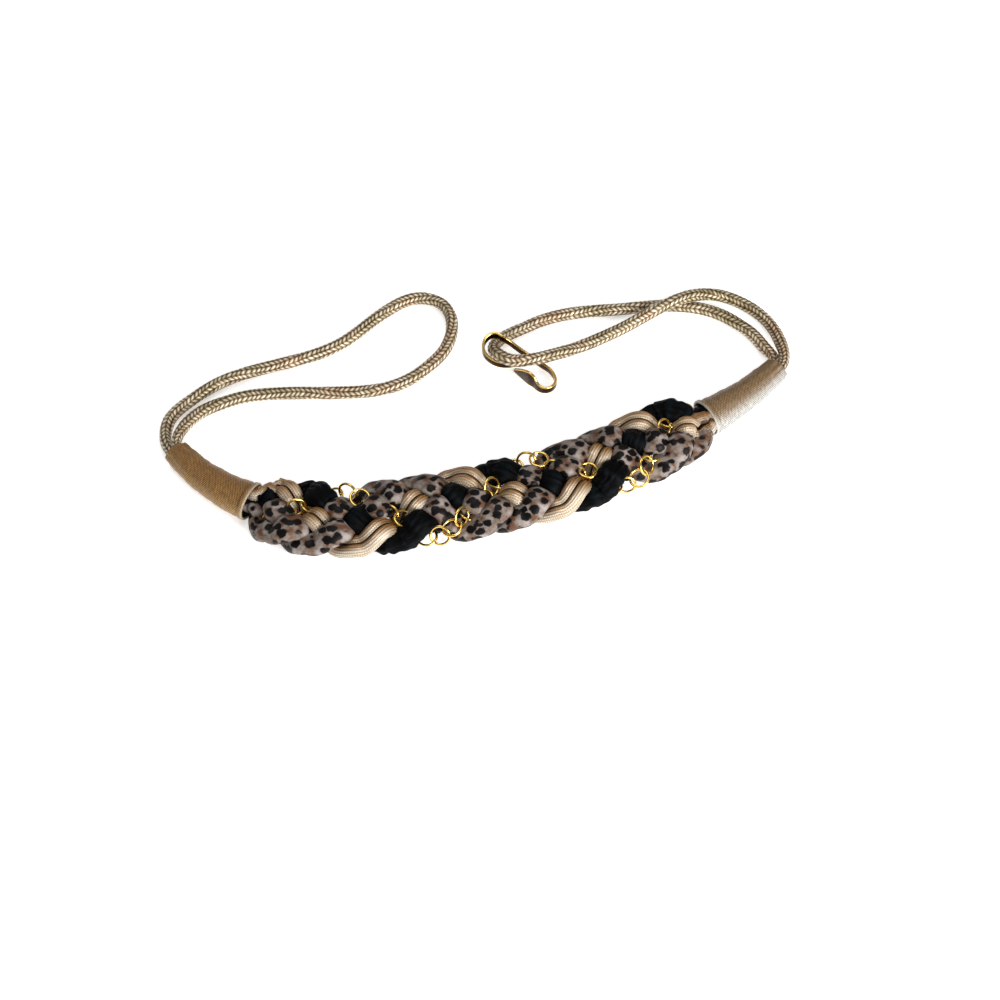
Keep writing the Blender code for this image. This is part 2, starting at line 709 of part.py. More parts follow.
def main():
    for old in list(bpy.data.objects):
        bpy.data.objects.remove(old)
    champagne = make_material("champagne_metallic_braid", "B9A27C", 0.38, 0.7)
    knit = make_material("champagne_metallic_knit", "A68E62", 0.42, 0.7)
    gold = make_material("gold_plated_metal", "D9A94E", 0.22, 1.0)
    black = make_material("black_crinkled_cloth", "14141A", 0.75, 0.0)
    leopard = make_material("leopard_printed_cloth", "8F8178", 0.6, 0.0)
    finishes = {
        "champagne_cord_strand": champagne,
        "black_strand": black,
        "leopard_strand_1": leopard,
        "leopard_strand_2": leopard,
    }
    lines = {}
    for name, phase, lift, gather, tuck in STRANDS:
        breadth = 2 * half_sizes(name)[0]
        lines[name] = strand_line(phase, lift * TUBE_THICKNESS, gather, tuck * TUCK, breadth)
    lines = spaced(lines)
    links = link_places(lines["gold_chain"][0])
    for name, finish in finishes.items():
        add_object(name, skin(strand_rings(name, lines, links)), finish)
    add_chain(links, gold)
    add_sleeve("sleeve_left", 0, knit)
    add_sleeve("sleeve_right", 1, knit)
    add_cord("cord_loop_left", LEFT_LOOP, champagne)
    add_cord("cord_loop_right", RIGHT_LOOP, champagne)
    add_hook(gold)


main()
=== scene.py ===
"""The looks of a waist belt: a five-strand plait of leopard cloth, black crinkled cloth, ribbed
champagne cord and gold chain, gathered in two knitted sleeves, with braided cord loops and a strip
hook. Metres, +Z up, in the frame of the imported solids."""

from math import cos, pi, radians, sin, tau

import bmesh
import bpy
import numpy as np
from mathutils import Matrix, Vector


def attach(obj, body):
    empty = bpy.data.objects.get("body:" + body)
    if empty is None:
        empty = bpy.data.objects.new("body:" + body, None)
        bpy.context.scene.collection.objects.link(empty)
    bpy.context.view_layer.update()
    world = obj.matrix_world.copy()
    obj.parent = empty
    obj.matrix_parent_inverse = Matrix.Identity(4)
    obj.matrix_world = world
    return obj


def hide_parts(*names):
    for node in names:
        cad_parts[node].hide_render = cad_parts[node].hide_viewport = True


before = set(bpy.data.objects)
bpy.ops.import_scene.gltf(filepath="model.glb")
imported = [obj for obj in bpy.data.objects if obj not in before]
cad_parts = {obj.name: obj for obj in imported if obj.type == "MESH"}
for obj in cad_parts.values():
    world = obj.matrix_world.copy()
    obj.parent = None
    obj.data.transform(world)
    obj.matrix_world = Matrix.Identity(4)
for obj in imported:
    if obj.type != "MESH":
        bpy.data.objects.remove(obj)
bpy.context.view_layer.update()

# Camera: the photo looks down at the belt from the front
VIEW_CENTRE = (0.0099, -0.0327, 0.0)
VIEW_ELEVATION = radians(55)
VIEW_DISTANCE = 0.9
FOCAL_LENGTH = 61.56
SENSOR_WIDTH = 36.0

# Plait, as in the solids
PLAIT_LENGTH = 0.256
PLAIT_WIDTH = 0.0445
PLAIT_MIDDLE_HEIGHT = 0.0098
PLAIT_PERIOD = 0.102
TUCK = 0.008
TAPER_LENGTH = 0.024
PLAIT_PLACE = (0.0012, -0.0372)
TUBE_WIDTH = 0.0156
TUBE_THICKNESS = 0.0096
RIB_CORD_DIAMETER = 0.0064
RIB_CORD_APART = 0.0054
LINK_DIAMETER = 0.0105
LINK_WIRE = 0.0017
LINK_BITE = 0.0004
SLEEVE_LENGTH = 0.0545
MOUTH_WIDTH = 0.0215
MOUTH_HEIGHT = 0.0165
THROAT_WIDTH = 0.0138
THROAT_HEIGHT = 0.0136
SLEEVE_WALL = 0.0012
SLEEVE_GAP = 0.0006
MOUTH_FLARE = 0.9
LEFT_SLEEVE_TURN = radians(27)
RIGHT_SLEEVE_TURN = radians(17)
CORD_DIAMETER = 0.007
CORD_PINCH = 0.73
PINCH_LENGTH = 0.008
PINCH_EASE = 0.020
HOOK_LENGTH = 0.050
HOOK_THICKNESS = 0.0015
HOOK_PLACE = (0.0214, 0.0588)
HOOK_HEADING = radians(-33)

# How the strands give where they press on each other
TUBE_CORE = 0.0026
GATHERED_SHARE = 0.55
WAVE_SHOULDER = 0.1
SPACING_ROUNDS = 30
SMOOTHING = 3
AXIS_STEP = 0.001
AXIS_STRIDE = 2
LINE_STEP = 0.0013
PRESSED_IN = 0.0003
NEAR = 0.024
RING_REACH = 0.016
SOFT_EDGE = 0.0009
FIRMNESS = {"champagne_cord_strand": 0.0007}

# Rings of the chain, finer and a little larger than the solid's, and lying higher on the cloth
RING_DIAMETER = 0.0113
RING_WIRE = 0.0014
RING_RISE = 0.0006
DEEPEST_WIRE = 0.6

# The ribbed cords spread out over the cloth for a length before each sleeve
FAN_LENGTH = 0.024
FAN_EASE = 0.008
FAN_END = 0.005
FAN_LAP = 0.0018

# Height of a strand's line as it leaves a mouth, held for a run from the strand's own end
MOUTH_EASE = 0.008
MOUTH_FILL = 0.82
MOUTH_HEIGHTS = (
    ("champagne_cord_strand", 0, 0.021, 0.0122),
    ("leopard_strand_1", 0, 0.012, 0.0075),
    ("leopard_strand_2", 0, 0.021, 0.0060),
    ("gold_chain", 0, 0.014, 0.0045),
    ("champagne_cord_strand", 1, 0.019, 0.0125),
    ("leopard_strand_1", 1, 0.018, 0.0070),
    ("leopard_strand_2", 1, 0.015, 0.0065),
)

# Fineness of the dressed pieces
STRAND_STEP = 0.0006
STRAND_SIDES = 96
RAYS = 36
RAY_STEPS = 18
CORD_STEP = 0.0004
CORD_SIDES = 40
SLEEVE_SIDES = 72
SLEEVE_ROWS_COUNT = 110
LINK_SIDES = 28
WIRE_SIDES = 10
HOOK_STEPS = 110
HOOK_EDGE_POINTS = 9

# No piece sinks into the surface that the belt lies on
TUBE_CLEARANCE = 0.0002
CORD_CLEARANCE = 0.0001
LEAST_RADIUS = 0.0005

# Rings lie flat on the plait and stand on edge by turns, none of them quite alike
LINK_LEAN = [radians(angle) for angle in (-8, 66, -14, 78, 6, 60, -10, 72, 4, 64)]
LINK_LIFT = 0.35
CHAIN_ROOM = 0.55

# Braid of the cord loops: columns round the cord, pitch and height of a stroke, how far it leans,
# and how the braid turns about the cord and loosens along it
BRAID_COLUMNS = 8
BRAID_PITCH = 0.0027
BRAID_LEAN = 0.85
BRAID_DEPTH = 0.0005
BRAID_MIDDLE = 0.7
BRAID_WANDER = 0.45
WANDER_LENGTHS = (0.083, 0.047)
LOOSENESS = 0.1
LOOSE_LENGTH = 0.0117
EVEN_STROKES = 0.72

# Sleeves: hem and the crease behind it, seam, small pleats at the throat, and the side browned by
# painted shade
HEM_WIDTH = 0.003
HEM_HEIGHT = 0.0004
HEM_EDGE = 0.0009
CREASE_WIDTH = 0.0005
SEAM_ANGLE = radians(26)
SEAM_WIDTH = radians(5)
SEAM_HEIGHT = 0.0003
GATHERS = 11
PLEAT_HEIGHT = 0.0004
SHADE_ANGLE = radians(50)

# Ribbed cords: ribs round each, and how much painted shade browns its front, its back and its top
RIBS = 14
RIB_DEPTH = 0.00035
GROOVE_WIDTH = 0.75
FRONT_SHADE = 0.45
BACK_SHADE = 0.9
TOP_SHADE = 0.25

# Folds of the cloths: height, wavelength along the piece, and turns round it
LEOPARD_FOLDS = ((0.00025, 0.024, 1), (0.00018, 0.011, -1), (0.0001, 0.0058, 2))
BLACK_FOLDS = (
    (0.00034, 0.0068, 1),
    (0.00024, 0.0043, -1),
    (0.00016, 0.019, 7),
    (0.00014, 0.013, -10),
    (0.00008, 0.009, 13),
)
SLEEVE_FOLDS = ((0.00013, 0.021, 1), (0.00009, 0.009, 3), (0.00006, 0.0052, 2))

FLOOR_SIZE = 12.0
WORLD_GREY = (0.28, 0.28, 0.28, 1)

# Middle line of the plait in plan, in plait lengths, as the photo shows it
PLAIT_LINE = (
    (-0.472, -0.010),
    (-0.368, -0.050),
    (-0.267, -0.059),
    (-0.167, -0.045),
    (-0.066, -0.025),
    (0.035, 0.000),
    (0.138, 0.033),
    (0.241, 0.077),
    (0.347, 0.133),
    (0.468, 0.206),
)
# Taper lengths inside the mouth, with the shares of a strand's swing and of its rise there
SPREAD = (
    (-1.0, 0.30, 0.55),
    (0.0, 0.46, 0.70),
    (0.5, 0.78, 0.90),
    (1.0, 1.00, 1.00),
)
# Height of a strand at each tenth of a period: over, under, over, under, and back
RISE = (0.0, 1.0, -1.0, 1.0, -1.0, 0.0, 1.0, -1.0, 1.0, -1.0, 0.0)
# Strand, place in the period, lift in tube thicknesses, gathering, and tuck in the sleeves
STRANDS = (
    ("champagne_cord_strand", 0.07, 0.60, 1.0, 1.0),
    ("black_strand", 0.27, 0.53, 1.0, 1.0),
    ("gold_chain", 0.47, 0.50, 0.5, -0.1),
    ("leopard_strand_1", 0.67, 0.53, 1.0, 1.0),
    ("leopard_strand_2", 0.87, 0.53, 1.0, 1.0),
)
# Share of a sleeve's depth, and share of the way from its mouth's size to its throat's
SLEEVE_ROWS = (
    (0.0, -0.03),
    (0.06, 0.06),
    (0.3, 0.34),
    (0.6, 0.64),
    (0.85, 0.84),
    (1.0, 1.0),
)
# Hook strip in hook lengths: along it, to its left, and its lower and upper edge
HOOK_ROWS = (
    (0.032, 0.058, 0.004, 0.100),
    (-0.067, -0.075, 0.004, 0.100),
    (-0.179, -0.147, 0.004, 0.100),
    (-0.301, -0.162, 0.016, 0.112),
    (-0.384, -0.147, 0.052, 0.152),
    (-0.428, -0.105, 0.088, 0.188),
    (-0.446, -0.047, 0.120, 0.220),
    (-0.429, 0.024, 0.150, 0.246),
    (-0.379, 0.069, 0.162, 0.258),
    (-0.298, 0.077, 0.158, 0.254),
    (-0.193, 0.099, 0.104, 0.200),
    (-0.068, 0.111, 0.048, 0.144),
    (0.057, 0.114, 0.016, 0.112),
    (0.229, 0.092, 0.006, 0.104),
    (0.314, 0.076, 0.016, 0.112),
    (0.416, 0.028, 0.022, 0.116),
    (0.483, -0.042, 0.024, 0.120),
    (0.494, -0.127, 0.024, 0.120),
    (0.441, -0.198, 0.020, 0.120),
    (0.351, -0.203, 0.008, 0.140),
    (0.295, -0.185, 0.003, 0.196),
    (0.233, -0.179, 0.003, 0.220),
    (0.146, -0.159, 0.004, 0.184),
    (0.058, -0.137, 0.012, 0.120),
    (0.000, -0.125, 0.024, 0.072),
)
# Routes of the cord loops, as in the solids
LEFT_LOOP = (
    (-0.1587, -0.0136, 0.0047),
    (-0.1633, -0.0082, 0.0047),
    (-0.1654, -0.0055, 0.0047),
    (-0.1689, 0.0013, 0.0043),
    (-0.1701, 0.0093, 0.0038),
    (-0.1691, 0.0173, 0.0036),
    (-0.1651, 0.0243, 0.0036),
    (-0.1591, 0.0308, 0.0036),
    (-0.1511, 0.0383, 0.0036),
    (-0.1411, 0.0453, 0.0036),
    (-0.1291, 0.0508, 0.0036),
    (-0.1161, 0.0553, 0.0036),
    (-0.1011, 0.0603, 0.0036),
    (-0.0891, 0.0653, 0.0036),
    (-0.0781, 0.0723, 0.0036),
    (-0.0691, 0.0808, 0.0036),
    (-0.0591, 0.0913, 0.0036),
    (-0.0501, 0.0993, 0.0036),
    (-0.0401, 0.1048, 0.0036),
    (-0.0311, 0.1048, 0.0036),
    (-0.0231, 0.1008, 0.0036),
    (-0.0186, 0.0933, 0.0036),
    (-0.0171, 0.0843, 0.0036),
    (-0.0186, 0.0733, 0.0036),
    (-0.0231, 0.0633, 0.0036),
    (-0.0301, 0.0548, 0.0036),
    (-0.0381, 0.0473, 0.0036),
    (-0.0471, 0.0418, 0.0036),
    (-0.0581, 0.0383, 0.0036),
    (-0.0721, 0.0368, 0.0036),
    (-0.0851, 0.0363, 0.0036),
    (-0.1001, 0.0363, 0.0036),
    (-0.1141, 0.0358, 0.0036),
    (-0.1241, 0.0348, 0.0036),
    (-0.1341, 0.0323, 0.0036),
    (-0.1431, 0.0283, 0.0038),
    (-0.1511, 0.0233, 0.0044),
    (-0.1571, 0.0163, 0.0056),
    (-0.1609, 0.0083, 0.0071),
    (-0.1623, 0.0023, 0.0082),
    (-0.1619, -0.0035, 0.0086),
    (-0.1603, -0.0058, 0.0086),
    (-0.1559, -0.0110, 0.0086),
)
RIGHT_LOOP = (
    (0.1588, 0.0435, 0.0086),
    (0.1635, 0.0487, 0.0086),
    (0.1652, 0.0511, 0.0086),
    (0.1671, 0.0573, 0.0080),
    (0.1666, 0.0693, 0.0062),
    (0.1629, 0.0833, 0.0043),
    (0.1559, 0.0943, 0.0037),
    (0.1469, 0.1013, 0.0043),
    (0.1359, 0.1048, 0.0062),
    (0.1239, 0.1033, 0.0092),
    (0.1129, 0.0988, 0.0112),
    (0.1009, 0.0933, 0.0098),
    (0.0889, 0.0878, 0.0062),
    (0.0779, 0.0818, 0.0041),
    (0.0679, 0.0763, 0.0037),
    (0.0579, 0.0703, 0.0044),
    (0.0489, 0.0648, 0.0062),
    (0.0399, 0.0598, 0.0084),
    (0.0319, 0.0563, 0.0095),
    (0.0239, 0.0548, 0.0094),
    (0.0159, 0.0548, 0.0094),
    (0.0094, 0.0588, 0.0092),
    (0.0064, 0.0658, 0.0060),
    (0.0089, 0.0733, 0.0037),
    (0.0159, 0.0788, 0.0036),
    (0.0239, 0.0833, 0.0036),
    (0.0309, 0.0873, 0.0036),
    (0.0399, 0.0911, 0.0036),
    (0.0499, 0.0938, 0.0036),
    (0.0589, 0.0953, 0.0036),
    (0.0759, 0.0968, 0.0036),
    (0.0919, 0.0988, 0.0036),
    (0.1039, 0.0998, 0.0036),
    (0.1149, 0.0993, 0.0036),
    (0.1259, 0.0968, 0.0036),
    (0.1359, 0.0923, 0.0036),
    (0.1439, 0.0863, 0.0036),
    (0.1519, 0.0783, 0.0036),
    (0.1579, 0.0683, 0.0037),
    (0.1624, 0.0603, 0.0041),
    (0.1621, 0.0535, 0.0046),
    (0.1607, 0.0512, 0.0047),
    (0.1560, 0.0461, 0.0047),
)


def linear(hex_colour):
    """An sRGB hex colour as linear red, green, blue and full alpha."""
    shares = [int(hex_colour[i : i + 2], 16) / 255 for i in (0, 2, 4)]
    return [c / 12.92 if c <= 0.04045 else ((c + 0.055) / 1.055) ** 2.4 for c in shares] + [1.0]


def normalised(vectors):
    return vectors / np.linalg.norm(vectors, axis=-1, keepdims=True)


def lengths_along(points):
    return np.concatenate([[0.0], np.cumsum(np.linalg.norm(np.diff(points, axis=0), axis=1))])


def resampled(points, step):
    """The same line with points evenly spaced, about a step apart."""
    along = lengths_along(points)
    places = np.linspace(0, along[-1], max(int(round(along[-1] / step)), 2) + 1)
    return np.stack([np.interp(places, along, column) for column in points.T], axis=1)


def smooth_curve(points, step):
    """Points a step apart on the natural cubic spline through the given ones."""
    points = np.array(points, float)
    knots = lengths_along(points)
    spans = np.diff(knots)
    count = len(points)
    system = np.eye(count)
    wanted = np.zeros_like(points)
    slopes = np.diff(points, axis=0) / spans[:, None]
    for i in range(1, count - 1):
        system[i, i - 1 : i + 2] = spans[i - 1], 2 * (spans[i - 1] + spans[i]), spans[i]
        wanted[i] = 6 * (slopes[i] - slopes[i - 1])
    bends = np.linalg.solve(system, wanted)
    places = np.linspace(0, knots[-1], int(knots[-1] / step) * 4)
    span = np.clip(np.searchsorted(knots, places) - 1, 0, count - 2)
    left = (places - knots[span])[:, None]
    right = (knots[span + 1] - places)[:, None]
    width = spans[span][:, None]
    fine = (
        (bends[span] * right**3 + bends[span + 1] * left**3) / (6 * width)
        + (points[span] / width - bends[span] * width / 6) * right
        + (points[span + 1] / width - bends[span + 1] * width / 6) * left
    )
    return resampled(fine, step)


def belt_axis():
    """The belt's middle line in plan: plait, with both sleeves' arcs carried on from its ends."""
    plait = smooth_curve(np.array(PLAIT_LINE) * PLAIT_LENGTH, AXIS_STEP)
    plait = plait * PLAIT_LENGTH / lengths_along(plait)[-1] + np.array(PLAIT_PLACE)
    steps = int(round(SLEEVE_LENGTH / AXIS_STEP))
    stride = SLEEVE_LENGTH / steps

    def arc(start, before, turn):
        heading = np.arctan2(*(start - before)[::-1])
        turns = heading + turn * (np.arange(steps) + 0.5) / steps
        return start + np.cumsum(stride * np.stack([np.cos(turns), np.sin(turns)], axis=1), axis=0)

    left = arc(plait[0], plait[1], -LEFT_SLEEVE_TURN)[::-1]
    right = arc(plait[-1], plait[-2], RIGHT_SLEEVE_TURN)
    points = np.concatenate([left, plait, right])
    ahead = normalised(np.gradient(points, axis=0))
    leftward = np.stack([-ahead[:, 1], ahead[:, 0]], axis=1)
    return lengths_along(points) - SLEEVE_LENGTH, points, leftward


STATIONS, AXIS, LEFTWARD = belt_axis()


def place(station, aside, height):
    """World points at distances along the belt, to the left of its middle line, and up."""
    middle = np.stack([np.interp(station, STATIONS, AXIS[:, i]) for i in (0, 1)], axis=-1)
    to_left = np.stack([np.interp(station, STATIONS, LEFTWARD[:, i]) for i in (0, 1)], axis=-1)
    flat = middle + np.multiply(np.asarray(aside)[..., None], to_left)
    return np.concatenate([flat, np.broadcast_to(height, flat.shape[:1])[:, None]], axis=1)


def sleeve_size(depth):
    """Half width and half height of a sleeve's outside at a depth from its mouth."""
    rows = np.array(SLEEVE_ROWS)
    share = np.interp(depth / SLEEVE_LENGTH, rows[:, 0], rows[:, 1])
    wide = MOUTH_WIDTH + share * (THROAT_WIDTH - MOUTH_WIDTH)
    high = MOUTH_HEIGHT + share * (THROAT_HEIGHT - MOUTH_HEIGHT)
    return wide / 2, high / 2


def depth_in_sleeve(station):
    return np.maximum(-station, station - PLAIT_LENGTH)


def strand_line(phase, lift, gather, tuck, breadth):
    """A strand's middle line from one tuck to the other, and its squeeze towards the ends."""
    stations = np.arange(-tuck, PLAIT_LENGTH + tuck, AXIS_STEP)
    turn = (stations / PLAIT_PERIOD - phase) % 1.0
    rows = np.array(SPREAD)
    inwards = -depth_in_sleeve(stations) / TAPER_LENGTH
    spread = np.interp(inwards, rows[:, 0], rows[:, 1])
    kept = gather + (1 - gather) * np.clip(inwards, 0, 1)
    rising = np.interp(inwards, rows[:, 0], rows[:, 2])
    wave = np.cos(tau * turn) + WAVE_SHOULDER * np.cos(3 * tau * turn)
    keys = np.array(RISE)
    key = np.clip((turn * 10).astype(int), 0, 9)
    ease = 0.5 - 0.5 * np.cos(np.pi * (turn * 10 - key))
    rise = keys[key] + ease * (keys[key + 1] - keys[key])
    aside = wave / (1 + WAVE_SHOULDER) * spread * kept * (PLAIT_WIDTH - breadth) / 2
    share = np.clip(1 - inwards, 0, 1)
    middle = PLAIT_MIDDLE_HEIGHT + share * (MOUTH_HEIGHT / 2 - PLAIT_MIDDLE_HEIGHT)
    line = place(stations, aside, middle + rise * rising * kept * lift)
    even = resampled(line, LINE_STEP)
    size = GATHERED_SHARE + (1 - GATHERED_SHARE) * spread
    return even, np.interp(lengths_along(even), lengths_along(line), size)


def sleeve_room(points):
    """Where points lie across the nearer sleeve's inside, and that inside's half sizes there."""
    gaps = ((points[:, None, :2] - AXIS[None, ::AXIS_STRIDE]) ** 2).sum(axis=2)
    near = gaps.argmin(axis=1) * AXIS_STRIDE
    depth = depth_in_sleeve(STATIONS[near])
    wide, high = sleeve_size(np.maximum(depth, 0))
    flare = MOUTH_FLARE * np.maximum(-depth, 0) - SLEEVE_WALL - SLEEVE_GAP
    aside = ((points[:, :2] - AXIS[near]) * LEFTWARD[near]).sum(axis=1)
    return near, aside, points[:, 2] - high, wide + flare, high + flare


def drawn_in(line, radius):
    """A line moved in wherever it would run closer than a radius to a sleeve's inside."""
    near, aside, up, wide, high = sleeve_room(line)
    share = np.maximum(np.hypot(aside / (wide - radius), up / (high - radius)), 1)
    moved = line.copy()
    moved[:, :2] -= (aside * (1 - 1 / share))[:, None] * LEFTWARD[near]
    moved[:, 2] -= up * (1 - 1 / share)
    return moved


def core(name):
    return LINK_DIAMETER / 2 - LINK_WIRE / 2 if name == "gold_chain" else TUBE_CORE


def spaced(lines):
    """The strands' lines, pushed apart wherever two of them run closer than their cores allow."""
    names = list(lines)
    for _ in range(SPACING_ROUNDS):
        moves = {name: np.zeros_like(lines[name][0]) for name in names}
        for first in names:
            for second in names:
                if first == second:
                    continue
                own, other = lines[first][0], lines[second][0]
                apart = own[:, None, :] - other[None, :, :]
                gaps = np.linalg.norm(apart, axis=2)
                near = gaps.argmin(axis=1)
                rows = np.arange(len(own))
                gap = gaps[rows, near]
                short = np.maximum(core(first) + core(second) - gap, 0) / 2
                moves[first] += apart[rows, near] * (short / np.maximum(gap, 1e-6))[:, None]
        for name in names:
            move = moves[name]
            for _ in range(SMOOTHING):
                move[1:-1] = (move[:-2] + 2 * move[1:-1] + move[2:]) / 4
            line = drawn_in(lines[name][0] + move, core(name))
            line[:, 2] = np.maximum(line[:, 2], core(name))
            lines[name] = (line, lines[name][1])
    return lines


def laid_over(lines):
    """The strands' lines, lifted or lowered where they come out of a mouth as the photo shows."""
    for name, end, run, height in MOUTH_HEIGHTS:
        line = lines[name][0]
        along = lengths_along(line)
        from_end = along[-1] - along if end else along
        share = 1 - ease((from_end - run) / MOUTH_EASE)
        line[:, 2] += share * (height - line[:, 2])
    return lines


def frames(line):
    """Forward, sideways and upward directions along a line; sideways is level."""
    forward = normalised(np.gradient(line, axis=0))
    sideways = normalised(np.cross(forward, (0.0, 0.0, 1.0)))
    return forward, sideways, np.cross(sideways, forward)


def skin(name, rings, fields=None, loop=False):
    """A closed mesh object over rings of points, with named point fields and a UV map in metres
    measured along its surface. Rings start underneath, so the map's seam lies there."""
    rows, sides = rings.shape[:2]
    down = rows if loop else rows - 1
    closed = np.concatenate([rings, rings[:, :1]], axis=1)
    if loop:
        closed = np.concatenate([closed, closed[:1]])
    onward = np.cumsum(np.linalg.norm(np.diff(closed, axis=0), axis=2), axis=0)
    onward = np.concatenate([0 * onward[:1], onward])
    about = np.cumsum(np.linalg.norm(np.diff(closed, axis=1), axis=2), axis=1)
    about = np.concatenate([0 * about[:, :1], about], axis=1)
    about = about - about[:, sides // 2 : sides // 2 + 1]
    mesh = bmesh.new()
    chart = mesh.loops.layers.uv.new("surface")
    layers = {key: mesh.verts.layers.float.new(key) for key in fields or {}}
    made = bmesh.ops.create_grid(mesh, x_segments=down, y_segments=sides, size=1.0, calc_uvs=True)
    for vert in made["verts"]:
        row = int(round((vert.co.x + 1) / 2 * down)) % rows
        side = int(round((vert.co.y + 1) / 2 * sides)) % sides
        for key, layer in layers.items():
            vert[layer] = fields[key][row][side]
        vert.co = rings[row][side]
    for face in mesh.faces:
        for corner in face.loops:
            share = corner[chart].uv
            spot = int(round(share[0] * down)), int(round(share[1] * sides))
            corner[chart].uv = (onward[spot], about[spot])
    bmesh.ops.remove_doubles(mesh, verts=mesh.verts, dist=1e-7)
    if not loop:
        bmesh.ops.holes_fill(mesh, edges=[edge for edge in mesh.edges if edge.is_boundary])
    bmesh.ops.recalc_face_normals(mesh, faces=mesh.faces)
    return finished(name, mesh)


def finished(name, mesh):
    data = bpy.data.meshes.new(name)
    mesh.to_mesh(data)
    mesh.free()
    data.shade_smooth()
    made = bpy.data.objects.new(name, data)
    bpy.context.scene.collection.objects.link(made)
    return made


def dress(piece, material, node):
    """Gives a piece its material and lets it stand for a solid of the frame."""
    piece.data.materials.append(material)
    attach(piece, "root")
    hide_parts(node)
    return piece


def blurred(field, rounds):
    """A field over rings and sides, smoothed; it closes on itself round the sides."""
    for _ in range(rounds):
        field = (np.roll(field, 1, axis=1) + 2 * field + np.roll(field, -1, axis=1)) / 4
        field[1:-1] = (field[:-2] + 2 * field[1:-1] + field[2:]) / 4
    return field


def half_sizes(name):
    if name == "gold_chain":
        return CHAIN_ROOM * LINK_DIAMETER / 2, CHAIN_ROOM * LINK_DIAMETER / 2
    if name == "champagne_cord_strand":
        return (RIB_CORD_APART + RIB_CORD_DIAMETER) / 2, RIB_CORD_DIAMETER / 2
    return TUBE_WIDTH / 2, TUBE_THICKNESS / 2


def link_places(line):
    """Centres, directions and normals of the chain's links."""
    ring = (LINK_DIAMETER - LINK_WIRE) / 2
    pitch = 2 * ring - LINK_WIRE + LINK_BITE
    picked = [int(round((ring + LINK_WIRE) / LINE_STEP))]
    for i in range(picked[0], len(line)):
        if np.linalg.norm(line[i] - line[picked[-1]]) >= pitch:
            picked.append(i)
    centres = line[picked]
    along = normalised(np.gradient(centres, axis=0))
    level = normalised(np.cross(along, (0.0, 0.0, 1.0)))
    up = np.cross(level, along)
    turns = np.array([LINK_LEAN[i % len(LINK_LEAN)] for i in range(len(centres))])[:, None]
    facing = up * np.cos(turns) + level * np.sin(turns) + (0.0, 0.0, LINK_LIFT) * np.cos(turns)
    return centres + (0.0, 0.0, RING_RISE), along, normalised(facing)


def pressed_radius(name, line, widening, allowance, rays, full, lines, links):
    """How far each ray from a strand's line reaches before neighbours, links or floor hold it."""
    shares = np.linspace(0.02, 1, RAY_STEPS)
    radius = full.copy()
    set_out = {key: frames(value[0]) for key, value in lines.items()}
    ring = (RING_DIAMETER - RING_WIRE) / 2
    for k, middle in enumerate(line):
        points = middle + rays[k][:, None, :] * (full[k][:, None] * shares)[:, :, None]
        shallow = np.tile(shares > DEEPEST_WIRE, len(rays[k]))
        flat = points.reshape(-1, 3)
        past = -flat[:, 2]
        own = widening[k] * half_sizes(name)[0], half_sizes(name)[1]
        at_home = lined_up(flat, *lines[name], set_out[name], own, middle)
        for other, (there, there_squeeze) in lines.items():
            if other in (name, "gold_chain"):
                continue
            away = lined_up(flat, there, there_squeeze, set_out[other], half_sizes(other), middle)
            if away is None:
                continue
            slope = 1 / own[1] + 1 / half_sizes(other)[1]
            yielded = FIRMNESS.get(other, 0) - FIRMNESS.get(name, 0)
            past = np.maximum(past, (at_home - away) / slope - allowance[k] + yielded)
        for centre, _, normal in zip(*links):
            if np.linalg.norm(centre - middle) > RING_REACH:
                continue
            off = (flat - centre) @ normal
            out = np.sqrt(np.maximum(((flat - centre) ** 2).sum(axis=1) - off**2, 0))
            bite = RING_WIRE / 2 - np.hypot(out - ring, off)
            past = np.maximum(past, np.where(shallow, bite, past))
        _, aside, up, wide, high = sleeve_room(flat)
        past = np.maximum(past, (np.hypot(aside / wide, up / high) - 1) * high)
        past = past.reshape(points.shape[:2])
        held = (past > 0).any(axis=1)
        first = np.clip((past > 0).argmax(axis=1), 1, RAY_STEPS - 1)
        rows = np.arange(len(first))
        after, before = past[rows, first], np.minimum(past[rows, first - 1], 0)
        onward = (shares[1] - shares[0]) * before / np.minimum(before - after, -1e-9)
        share = shares[first - 1] + onward
        radius[k] = full[k] * np.where(held, np.clip(share, 0.1, 1), 1)
    return radius


def lined_up(points, line, squeeze, set_out, sizes, middle):
    """Distance of points from a strand's line, as a share of its half size in that direction."""
    gaps = np.linalg.norm(line - middle, axis=1)
    close = np.flatnonzero(gaps < NEAR)
    if not len(close):
        return None
    best = close[((points[:, None, :] - line[None, close, :]) ** 2).sum(axis=2).argmin(axis=1)]
    away = points - line[best]
    wide = (away * set_out[1][best]).sum(axis=1) / sizes[0]
    high = (away * set_out[2][best]).sum(axis=1) / sizes[1]
    return np.hypot(wide, high) / squeeze[best]


def refined(field, rows, sides, count):
    """A field known at some rows and sides, read off at every row and at more sides."""
    closed = np.concatenate([field, field[:, :1]], axis=1)
    across = np.linspace(0, field.shape[1], sides, endpoint=False)
    wide = np.stack([np.interp(across, np.arange(closed.shape[1]), row) for row in closed])
    return np.stack([np.interp(np.arange(count), rows, column) for column in wide.T], axis=1)


